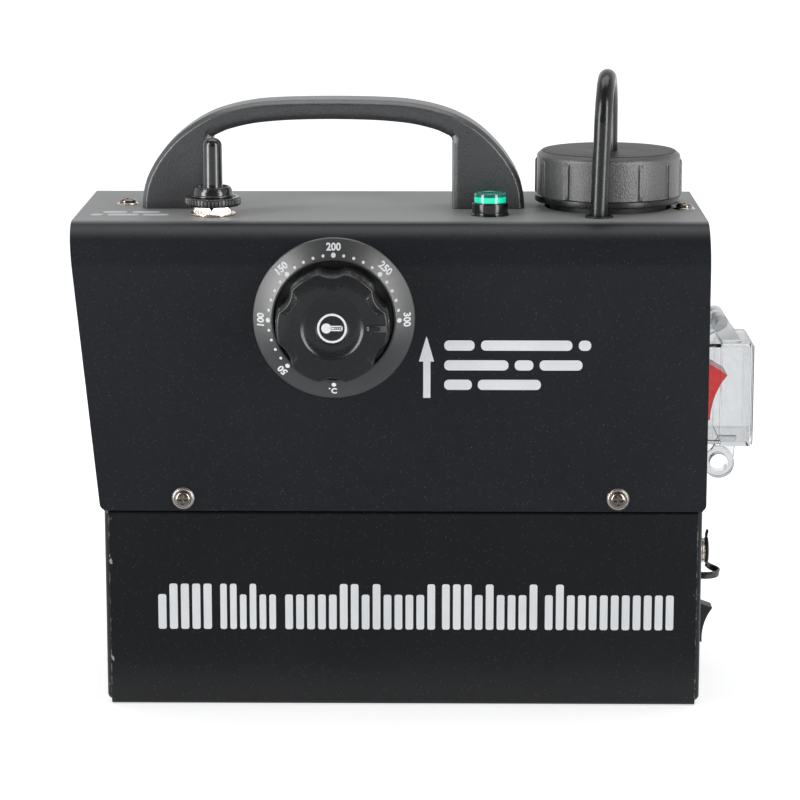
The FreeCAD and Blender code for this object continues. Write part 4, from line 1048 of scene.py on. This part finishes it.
def on_ring(u, v, lift):
    """Place on the ring's slope, u right and v up from the dial's middle."""
    outer_radius, outer_height, inner_radius, inner_height = 33.2, 1.3, 25.9, 6.3
    slope = outer_radius - math.hypot(u, v)
    height = outer_height + slope * (inner_height - outer_height) / (outer_radius - inner_radius)
    return (DIAL_X + u, SHELL_FRONT_Y - height - PRINT_GAP - lift, DIAL_Z + v)


def text_shapes(text, size, weight):
    """2-D vertices and faces of a text, thickened by `weight`."""
    curve = D.curves.new("t_" + text, "FONT")
    curve.body = text
    curve.align_x = "CENTER"
    curve.align_y = "CENTER"
    curve.size = size
    curve.offset = weight
    curve.resolution_u = 3
    obj = D.objects.new("t_" + text, curve)
    bpy.context.scene.collection.objects.link(obj)
    graph = bpy.context.evaluated_depsgraph_get()
    mesh = D.meshes.new_from_object(obj.evaluated_get(graph))
    verts = [(v.co.x, v.co.y) for v in mesh.vertices]
    faces = [list(p.vertices) for p in mesh.polygons]
    D.objects.remove(obj)
    D.meshes.remove(mesh)
    return verts, faces


def ring_text(name, text, angle, radius, size, turn):
    """Text on the ring; angles in degrees, `turn` is the text's own rotation."""
    verts, faces = text_shapes(text, size, weight=0.15)
    xs, ys = zip(*verts)
    middle_x, middle_y = (min(xs) + max(xs)) / 2, (min(ys) + max(ys)) / 2
    turn, angle = math.radians(turn), math.radians(angle)
    cos, sin = math.cos(turn), math.sin(turn)
    out = []
    for x, y in verts:
        x, y = x - middle_x, y - middle_y
        out.append(on_ring(radius * math.cos(angle) + x * cos - y * sin,
                           radius * math.sin(angle) + x * sin + y * cos, DIAL_PRINT_DEPTH))
    make_object(name, out, faces, "white_dial_print", sharp=30, clean=False)


def dial_ring():
    profile = soft_corners([
        (5.4, 0.0), (33.5, 0.0), (33.5, 0.8, 0.25), (33.2, 1.3, 0.3), (29.6, 3.85),
        (25.7, 6.42, 0.4), (24.9, 6.5, 0.3), (24.5, 6.0, 0.3), (24.4, 2.0, 0.3), (5.4, 2.0),
    ], True, 3)
    lathe("dial_ring", profile, DIAL_ORIGIN, "-Y", "dial_ring_plastic", segments=192,
          closed=True, slot="black_satin_plastic", replaces=["dial_bezel"], sharp=40)
    # 26 dots clockwise from the lower left, every fifth one large, and one at the bottom
    dots = []
    for i in range(26):
        a = math.radians(225 - i * 9)
        dots.append(disc(DOT_CIRCLE * math.cos(a), DOT_CIRCLE * math.sin(a),
                         0.98 if i % 5 == 0 else 0.62))
    dots.append(disc(0, -DOT_CIRCLE, 0.95))
    slabs("dial_scale_dots", dots, DIAL_PRINT_DEPTH, on_ring, "white_dial_print")
    for i in range(6):
        number, angle = str(50 + 50 * i), 225 - 45 * i
        ring_text("dial_number_" + number, number, angle, radius=30.15, size=4.0,
                  turn=angle - 90)
    ring_text("dial_unit_mark", "C", 270, radius=29.9, size=3.4, turn=0)
    slabs("dial_unit_ring", [round_rect(-2.2, -1.4, -29.2, -28.4, 0.39)], DIAL_PRINT_DEPTH,
          on_ring, "white_dial_print")


# ---------------------------------------------------------------------------
# thermostat knob: scalloped grip, dished hub, pointer rib and hub print
# ---------------------------------------------------------------------------
KNOB_RADIUS = 23.3
KNOB_SEGMENTS = 432
SHAFT_RADIUS, BORE_START, BORE_END = 3.2, 3.2, 17.0
HUB_HEIGHT = 24.9
# inset from the scalloped outline, height
KNOB_GRIP = [
    (1.9, BORE_START), (0.7, 3.6), (0.45, 4.6), (0.2, 9), (0.05, 14.0), (0.05, 17.5),
    (0.25, 22.0), (0.45, 24.1), (0.55, 24.75), (0.70, 25.05), (1.05, 25.40), (1.35, 25.52),
    (1.9, 25.62), (3.5, 25.85),
]
# radius, height; held inside the scallops
KNOB_FACE = [
    (19.0, 26.0), (17.0, 26.18), (15.0, 26.3), (14.0, 26.36), (13.3, 26.42), (12.95, 26.46),
    (12.6, 26.34), (12.1, 25.95), (11.4, 25.62), (10.2, 25.36), (8.6, 25.22), (7.0, 25.16),
    (6.6, 25.12),
]
KNOB_HUB = [(6.4, 24.96), (6.1, HUB_HEIGHT), (3.0, HUB_HEIGHT)]


def scalloped_radius(angle):
    """Outline with six round scallops, softly joined to the grips between them."""
    scallop_radius, scallop_circle, softness = 10.0, 31.25, 0.35
    best = KNOB_RADIUS
    for k in range(6):
        d = wrap(angle - math.radians(30 + 60 * k))
        inside = scallop_radius * scallop_radius - (scallop_circle * math.sin(d)) ** 2
        if inside > 0 and abs(d) < math.pi / 2:
            r = scallop_circle * math.cos(d) - math.sqrt(inside)
            # soft minimum rounds the corner between grip and scallop
            if r < best + 3 * softness:
                f = clamp(0.5 + 0.5 * (best - r) / (2 * softness))
                best = best * (1 - f) + r * f - 2 * softness * f * (1 - f)
    return best


def pointer_lift(radius, angle, height):
    """Raised strip under the pointer rib, towards +X."""
    if not (math.cos(angle) > 0 and 13.9 < radius < 22.6 and height > 25.5):
        return 0.0
    across = clamp((1.35 - abs(radius * math.sin(angle))) / 0.4)
    return 0.85 * across * clamp((radius - 13.9) / 1.0)


def knob_body():
    count = KNOB_SEGMENTS
    angles = ring_angles(count)
    outline = [scalloped_radius(a) for a in angles]
    # one list of radii and a height for each ring
    rows = [([SHAFT_RADIUS] * count, BORE_START)]
    rows += [([max(0.1, edge - inset) for edge in outline], h) for inset, h in KNOB_GRIP]
    rows += [([min(r, edge - 3.55 - 0.02 * (19 - r)) for edge in outline], h)
             for r, h in KNOB_FACE]
    rows += [([r] * count, h) for r, h in KNOB_HUB]
    verts, faces = [], []

    def point(radius, angle, height):
        verts.append(on_axis("-Y", DIAL_ORIGIN, radius, angle, height))

    def close(start, height):
        """Close a ring with a fan to a middle vertex."""
        point(0, 0, height)
        tip = len(verts) - 1
        faces.extend([start + k, start + (k + 1) % count, tip] for k in range(count))

    for radii, h in rows:
        for r, a in zip(radii, angles):
            point(r, a, h + pointer_lift(r, a, h))
    for i in range(len(rows) - 1):
        faces += band(i * count, (i + 1) * count, count)
    close((len(rows) - 1) * count, HUB_HEIGHT)
    # shaft bore at the back
    bore = len(verts)
    for a in angles:
        point(SHAFT_RADIUS, a, BORE_END)
    faces += band(bore, 0, count)
    close(bore, BORE_END)
    make_object("thermostat_knob_moulding", verts, faces, "satin_black_plastic",
                body="thermostat_dial", slot="black_satin_plastic",
                replaces=["thermostat_knob"], sharp=34)


def knob_pointer():
    """Rib from the hub to the rim, at +X."""
    base, start, end = 25.2, 14.0, 22.1
    # across, height
    section = soft_corners([(-1.55, base), (-1.2, 26.75, 0.3), (1.2, 26.75, 0.3), (1.55, base)])
    # x, share of the full height
    stations = [(start, 0.0), (start + 0.9, 0.85), (start + 1.3, 1.0), (end - 0.5, 1.0),
                (end - 0.1, 0.9), (end, 0.35)]
    count = len(section)
    verts = [(DIAL_X + x, SHELL_FRONT_Y - (base + (h - base) * share), DIAL_Z + z)
             for x, share in stations for z, h in section]
    faces = []
    for i in range(len(stations) - 1):
        # the underside stays open
        faces += band(i * count, (i + 1) * count, count)[:-1]
    last = (len(stations) - 1) * count
    faces += [list(range(count)), list(range(last, last + count))]
    make_object("knob_pointer_rib", verts, faces, "pointer_plastic", body="thermostat_dial",
                slot="black_satin_plastic", sharp=30)


def on_hub(u, v, lift):
    return (DIAL_X + u, SHELL_FRONT_Y - HUB_HEIGHT - PRINT_GAP - lift, DIAL_Z + v)


def knob_print():
    """Printed ring round a plain thermometer lying along X."""
    count, depth = 96, 0.08
    verts, faces = [], []
    for angle in ring_angles(count):
        for radius in (5.15, 6.05):
            for lift in (0.0, depth):
                verts.append(on_hub(radius * math.cos(angle), radius * math.sin(angle), lift))
    for k in range(count):
        a, b = 4 * k, 4 * ((k + 1) % count)
        faces += [[a, b, b + 1, a + 1], [a + 2, a + 3, b + 3, b + 2],
                  [a + 1, b + 1, b + 3, a + 3]]
    make_object("knob_print_ring", verts, faces, "white_dial_print", body="thermostat_dial",
                sharp=30, clean=False)
    slabs("knob_print_bulb", [disc(-2.3, 0, 2.05, 28)], depth, on_hub, "white_dial_print",
          body="thermostat_dial")
    # u from, u to, v from, v to, corner radius
    stem = [(-0.6, 1.0, -0.30, 0.30, 0.1), (-0.6, 4.25, 0.52, 1.10, 0.2),
            (-0.6, 4.25, -1.10, -0.52, 0.2), (3.5, 4.3, -0.95, 0.95, 0.2),
            (1.35, 1.75, -0.3, 0.3, 0.1), (2.1, 2.5, -0.3, 0.3, 0.1), (2.8, 3.2, -0.3, 0.3, 0.1)]
    slabs("knob_print_stem", [round_rect(*bar) for bar in stem], depth, on_hub,
          "white_dial_print", body="thermostat_dial")


# ---------------------------------------------------------------------------
# toggle: rubber boot and knurled ring
# ---------------------------------------------------------------------------
def toggle_boot():
    """One elastic moulding between case and lever."""
    base, finger_base, finger_top = 211.8, 211.8 + 4.8, 233.0
    profile = soft_corners([(r, base + h, *corner) for r, h, *corner in (
        (5.2, -1.5), (6.0, 0, 0.1), (8.95, 0, 0.15), (8.95, 0.55, 0.25), (8.35, 0.9, 0.2),
        (8.25, 2.4, 0.8), (7.55, 3.9, 0.9), (6.6, 4.35, 0.6), (5.6, 3.55, 0.5),
        (4.5, 3.5, 0.5), (4.15, 4.8, 0.5))])
    for k in range(1, 26):
        f = k / 25
        profile.append((4.15 - 0.10 * f, finger_base + (finger_top - finger_base) * f))
    for k in range(1, 10):
        a = math.pi / 2 * k / 9
        profile.append((0.55 + 3.50 * math.cos(a), finger_top + 3.3 * math.sin(a)))
    profile += [(0.45, 236.45), (0.3, 236.6), (0.0, 236.6)]
    boot = lathe("toggle_boot", profile, (TOGGLE_X, TOGGLE_Y, 0), "Z", "black_rubber",
                 segments=72, body=None, slot="black_rubber",
                 replaces=["toggle_boot_collar", "toggle_boot_finger"], sharp=50)
    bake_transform(boot)


def toggle_ring():
    flutes = 46
    profile = soft_corners([
        (6.3, 208.05), (11.1, 208.05), (11.65, 208.5, 0.15), (11.7, 209.0), (11.7, 210.6),
        (11.65, 211.1, 0.15), (11.1, 211.6, 0.2), (9.6, 211.75, 0.2), (9.3, 211.35),
        (6.3, 211.35)], True, 3)

    def flute(angle, radius, height):
        if radius < 11.3 or not 208.4 < height < 211.2:
            return 0.0
        crest = 0.5 + 0.5 * math.cos(angle * flutes)
        return -0.52 * (1 - min(1.0, crest * 1.7))

    lathe("toggle_knurled_ring_fine", profile, (TOGGLE_X, TOGGLE_Y, 0), "Z", "black_rubber",
          segments=flutes * 12, closed=True, relief=flute, slot="black_satin_plastic",
          replaces=["toggle_knurled_ring"], sharp=40)


# ---------------------------------------------------------------------------
# pilot lamp: thin foot flange, gloss barrel, terminal block, dished lens
# ---------------------------------------------------------------------------
def pilot_lamp():
    barrel = soft_corners([
        (5.0, 180.0), (6.2, 180.0), (6.2, 204.03), (8.0, 204.03), (8.0, 204.45, 0.15),
        (7.68, 204.75, 0.15), (7.6, 205.2, 0.2), (7.6, 209.0, 0.3), (7.35, 209.55, 0.25),
        (6.95, 209.6, 0.15), (6.72, 209.3, 0.1), (6.72, 206.0), (5.0, 206.0)], True)
    lathe("pilot_lamp_barrel", barrel, (LAMP_X, LAMP_Y, 0), "Z", "gloss_black_plastic",
          closed=True, slot="black_satin_plastic", replaces=["pilot_lamp_bezel"])
    slabs("pilot_lamp_terminal_block", [round_rect(-3.2, 3.2, -3.2, 3.2, 0.8)], 7.0,
          lambda u, v, lift: (LAMP_X + u, LAMP_Y + v, 181.0 + lift), "switch_body_plastic")
    lens = soft_corners([
        (0.0, 211.85), (3.3, 211.95), (4.7, 212.3, 0.6), (5.45, 213.15, 0.5),
        (6.15, 213.5, 0.4), (6.65, 213.3, 0.4), (6.67, 209.9), (6.67, 206.1), (4.9, 206.1),
        (4.9, 198.0), (0.0, 198.0)])
    lathe("pilot_lamp_lens_dished", lens, (LAMP_X, LAMP_Y, 0), "Z", "green_lens",
          slot="green_lens", replaces=["pilot_lamp_lens"], sharp=40)


# ---------------------------------------------------------------------------
# printed panels: an arrow, and plain bars in place of wording
# ---------------------------------------------------------------------------
# x, z
ARROW = [(9.7, 158.7), (6.55, 147.9), (8.35, 147.9), (8.35, 132.6), (11.35, 132.6),
         (11.35, 147.9), (12.85, 147.9)]
# x from, x to, z from, z to, relative bar widths, gap in the same measure
SHELL_ROWS = [
    (17.0, 77.6, 152.5, 156.8, (11, 33, 4.5), 2.3),
    (17.0, 74.1, 144.2, 148.5, (24, 7, 16), 2.3),
    (17.0, 57.0, 136.0, 140.3, (11, 25), 2.3),
]
# x from, x to, y from, y to, relative bar widths, gap in the same measure
TOP_ROWS = [
    (-127.6, -103.2, -24.9, -19.9, (10.5, 12.0), 2.0),
    (-132.0, -99.0, -32.9, -27.9, (5.6, 14.0, 11.5), 1.8),
]
# x from, x to of each group of upright bars
CASE_GROUPS = [(-102.9, -80.4), (-76.8, -53.4), (-49.5, 13.5), (16.4, 56.4), (59.6, 113.6)]


def word_bars(rows):
    bars = []
    for x0, x1, low, high, widths, gap in rows:
        scale = (x1 - x0) / (sum(widths) + gap * (len(widths) - 1))
        x = x0
        for width in widths:
            bars.append(round_rect(x, x + width * scale, low, high, (high - low) * 0.45, 5))
            x += (width + gap) * scale
    return bars


def upright_bars():
    """Bars of two heights, drawn at random."""
    gap, pitch = 1.35, 4.45
    draw = random.Random(5)
    bars = []
    for x0, x1 in CASE_GROUPS:
        count = max(3, int(round((x1 - x0 + gap) / pitch)))
        width = ((x1 - x0) - gap * (count - 1)) / count
        for k in range(count):
            x = x0 + k * (width + gap)
            tall = draw.random() > 0.72
            # the first bar of a group has a second chance to be tall
            top = 52.6 if k == 0 and draw.random() < 0.5 or tall else 48.0
            bars.append(round_rect(x, x + width, 32.9, top, 0.9))
    return bars


def panel_print():
    def on_wall(wall_y):
        return lambda u, v, lift: (u, wall_y - PRINT_GAP - lift, v)

    def on_top(u, v, lift):
        return (u, v, SHELL_TOP_Z + PRINT_GAP + lift)

    arrow = soft_corners([(x, z, 0.15) for x, z in ARROW], True, 2)
    for name, outlines, depth, place in (
            ("print_arrow", [arrow], 0.06, on_wall(SHELL_FRONT_Y)),
            ("print_bars_small", word_bars(SHELL_ROWS), 0.06, on_wall(SHELL_FRONT_Y)),
            ("print_bars_large", upright_bars(), 0.06, on_wall(CASE_FRONT_Y)),
            ("print_bars_top", word_bars(TOP_ROWS), 0.05, on_top)):
        slabs(name, outlines, depth, place, "white_print")


# ---------------------------------------------------------------------------
# dust cap, its tab and its folded strap
# ---------------------------------------------------------------------------
# outward from the panel, y, height, lean
STRAP_STATIONS = [
    (0.05, -2.7, -0.2, 0.35), (1.2, -2.75, -0.35, 0.2), (3.4, -3.5, -0.5, 0.0),
    (6.5, -4.25, -0.5, -0.08), (9.3, -4.35, -0.35, -0.12), (11.6, -3.5, -0.1, -0.15),
    (12.9, -1.2, 0.05, -0.15), (12.8, 1.0, 0.4, -0.05), (11.2, 2.6, 1.0, 0.1),
    (9.2, 3.1, 1.9, 0.35), (7.8, 2.5, 3.2, 0.6),
]


def dust_cap():
    profile = soft_corners([
        (0.0, -1.6), (1.9, -1.6), (2.45, -1.3, 0.3), (2.55, 0.0, 0.2), (5.4, 0.0, 0.2),
        (6.0, 0.35, 0.25), (6.0, 1.15, 0.3), (5.4, 1.4, 0.3), (0.0, 1.4)])
    lathe("dust_cap_disc", profile, (DUST_CAP_X, 0, SOCKET_Z), "X", "matt_black_rubber",
          segments=64, body="socket_dust_cap", slot="black_rubber", replaces=["dust_cap"],
          sharp=40)
    # tab above the disc: x, z outline; y and scale of each section
    outline = soft_corners([(0.1, 5.2), (1.0, 5.2), (1.05, 7.2, 0.3), (1.55, 9.0, 0.5),
                            (0.75, 9.2, 0.4), (0.1, 7.0, 0.4)], True, 3)
    count = len(outline)
    middle_u = sum(p[0] for p in outline) / count
    middle_v = sum(p[1] for p in outline) / count
    sections = [(-1.7, 0.9), (-1.5, 1.0), (1.5, 1.0), (1.7, 0.9)]
    verts = [(DUST_CAP_X + middle_u + (u - middle_u) * scale, y,
              SOCKET_Z + middle_v + (v - middle_v) * scale)
             for y, scale in sections for u, v in outline]
    make_object("dust_cap_tab", verts, capped_loft(len(sections), count), "matt_black_rubber",
                body="socket_dust_cap", slot="black_rubber")


def dust_cap_strap():
    """Flat band from the panel, folded round and up to the disc's foot."""
    half_thickness, half_width = 0.48, 1.55
    low, high = box("dust_cap_strap")
    middle_z = (low[2] + high[2]) / 2
    line = catmull([s[:2] for s in STRAP_STATIONS])
    rises = catmull([s[2:] for s in STRAP_STATIONS])
    section = round_rect(-half_thickness, half_thickness, -half_width, half_width, 0.25, 3)
    verts = []
    for point, normal, (rise, lean) in zip(line, normals(line), rises):
        for a, b in section:
            # the band's width runs near upright, leaning by its own angle
            u = a * math.cos(lean) + b * math.sin(lean)
            v = -a * math.sin(lean) + b * math.cos(lean)
            verts.append((PANEL_X + point.x + normal.x * u, point.y + normal.y * u,
                          middle_z + rise + v))
    strap = make_object("dust_cap_strap_band", verts, capped_loft(len(line), len(section)),
                        "black_rubber", body=None, slot="black_rubber",
                        replaces=["dust_cap_strap"], sharp=40)
    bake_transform(strap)


# ---------------------------------------------------------------------------
# floor, world, lights and camera, in metres
# ---------------------------------------------------------------------------
def sheet(name, corners, material):
    return make_object(name, corners, [[0, 1, 2, 3]], material, body=None, clean=False,
                       scale=1.0)


def pale_floor():
    mat = Shader("pale_floor")
    color = mat.mix(mat.noise(scale=3, detail=2), (0.86, 0.86, 0.86), (0.89, 0.89, 0.89))
    # the glow grows towards the back
    y = mat.split(mat.position)[1]
    mat.set(color=color, rough=0.9, specular=0.0, glow=(1.0, 1.0, 1.0),
            glow_strength=mat.ramp(y, (0.2, 2.2), (0.62, 0.80)))
    floor = sheet("floor", [(-9, -9, 0), (9, -9, 0), (9, 12, 0), (-9, 12, 0)], "pale_floor")
    floor.location.z = -0.0002


def studio_world():
    """Even white for the camera; a graded surround for light and reflections."""
    world = D.worlds.new("studio")
    bpy.context.scene.world = world
    world.use_nodes = True
    tree = world.node_tree
    tree.nodes.clear()

    def math_node(operation, a, b, clamped=True):
        node = tree.nodes.new("ShaderNodeMath")
        node.operation = operation
        node.use_clamp = clamped
        for socket, value in zip(node.inputs, (a, b)):
            if isinstance(value, bpy.types.NodeSocket):
                tree.links.new(value, socket)
            else:
                socket.default_value = value
        return node.outputs[0]

    def background(color, strength=None):
        node = tree.nodes.new("ShaderNodeBackground")
        node.inputs["Color"].default_value = color
        if strength is not None:
            node.inputs["Strength"].default_value = strength
        return node

    split = tree.nodes.new("ShaderNodeSeparateXYZ")
    coordinates = tree.nodes.new("ShaderNodeTexCoord")
    tree.links.new(coordinates.outputs["Generated"], split.inputs[0])
    # dim towards the camera's side and high up, bright low at the back
    front = math_node("MULTIPLY", split.outputs[1], -1.4)
    high = math_node("MULTIPLY", math_node("SUBTRACT", split.outputs[2], 0.30), 1.6)
    dim = math_node("MAXIMUM", front, high)
    level = math_node("SUBTRACT", 1.0, math_node("MULTIPLY", dim, 0.84))
    surround = background((0.985, 0.992, 1.0, 1))
    tree.links.new(math_node("MULTIPLY", level, 0.92, clamped=False),
                   surround.inputs["Strength"])
    backdrop = background((1.0, 1.0, 1.0, 1), strength=1.02)
    choice = tree.nodes.new("ShaderNodeMixShader")
    is_camera = tree.nodes.new("ShaderNodeLightPath").outputs["Is Camera Ray"]
    for socket, source in zip(choice.inputs, (is_camera, surround.outputs[0],
                                              backdrop.outputs[0])):
        tree.links.new(source, socket)
    output = tree.nodes.new("ShaderNodeOutputWorld")
    tree.links.new(choice.outputs[0], output.inputs["Surface"])


def aim(obj, direction):
    obj.rotation_euler = Vector(direction).to_track_quat("-Z", "Y").to_euler()


def area_light(name, location, target, width, height, power):
    light = D.lights.new(name, "AREA")
    light.shape = "RECTANGLE"
    light.size, light.size_y = width, height
    light.energy = power
    obj = D.objects.new(name, light)
    bpy.context.scene.collection.objects.link(obj)
    obj.location = location
    aim(obj, Vector(target) - Vector(location))
    obj.visible_camera = False
    return obj


def glow_card(name, corners, strength, tint=(1.0, 1.0, 1.0)):
    """A lit card that shows only in shiny surfaces."""
    mat = Shader(name + "_glow")
    glow = mat.mix(mat.noise(scale=2, detail=1), tuple(c * 0.96 for c in tint), tint)
    mat.set(color=(0.0, 0.0, 0.0), rough=1.0, specular=0.0, glow=glow, glow_strength=strength)
    card = sheet(name, corners, name + "_glow")
    card.visible_camera = False
    card.visible_diffuse = False
    card.visible_shadow = False
    card.visible_transmission = False


def softbox(name, azimuth, width, radiance, card_strength):
    """Tall soft box: an area light, and a card for its reflection.

    The azimuth is in degrees from -Y towards +X.
    """
    distance, low, high = 0.95, 0.02, 1.05
    angle = math.radians(azimuth)
    x, y, z = distance * math.sin(angle), -distance * math.cos(angle), (low + high) / 2
    light = area_light(name + "_fill", (x, y, z), (0, 0, z), width, high - low,
                       power=radiance * math.pi * width * (high - low))
    light.visible_glossy = False
    dx, dy = math.cos(angle) * width / 2, math.sin(angle) * width / 2
    glow_card(name + "_card", [(x - dx, y - dy, low), (x + dx, y + dy, low),
                               (x + dx, y + dy, high), (x - dx, y - dy, high)], card_strength)


def lights():
    softbox("soft_left", azimuth=-54, width=0.34, radiance=2.6, card_strength=8.5)
    softbox("soft_right", azimuth=46, width=0.30, radiance=2.4, card_strength=7.5)
    area_light("soft_top", (0.0, 0.45, 1.7), (0, 0, 0.1), width=1.6, height=0.9, power=9)
    # a card just above the floor in front
    glow_card("reflection_card", [(-0.40, -1.7, 0.003), (0.40, -1.7, 0.003),
                                  (0.40, -0.10, 0.003), (-0.40, -0.10, 0.003)],
              strength=0.40, tint=(0.93, 0.98, 1.06))


def camera():
    data = D.cameras.new("camera")
    data.sensor_width = 36
    data.lens = 135.75
    data.clip_start = 0.01
    obj = D.objects.new("camera", data)
    scene = bpy.context.scene
    scene.collection.objects.link(obj)
    obj.location = (0.0130, -1.2893, 0.3784)
    aim(obj, (-0.0114, 0.980, -0.1975))
    scene.camera = obj
    scene.view_settings.view_transform = "Standard"
    scene.view_settings.look = "None"


make_materials()
finish_cad_pieces()
felt_insulation()
carry_handle()
tank_cap()
fluid_hose()
dial_ring()
knob_body()
knob_pointer()
knob_print()
toggle_boot()
toggle_ring()
pilot_lamp()
panel_print()
dust_cap()
dust_cap_strap()
pale_floor()
studio_world()
lights()
camera()
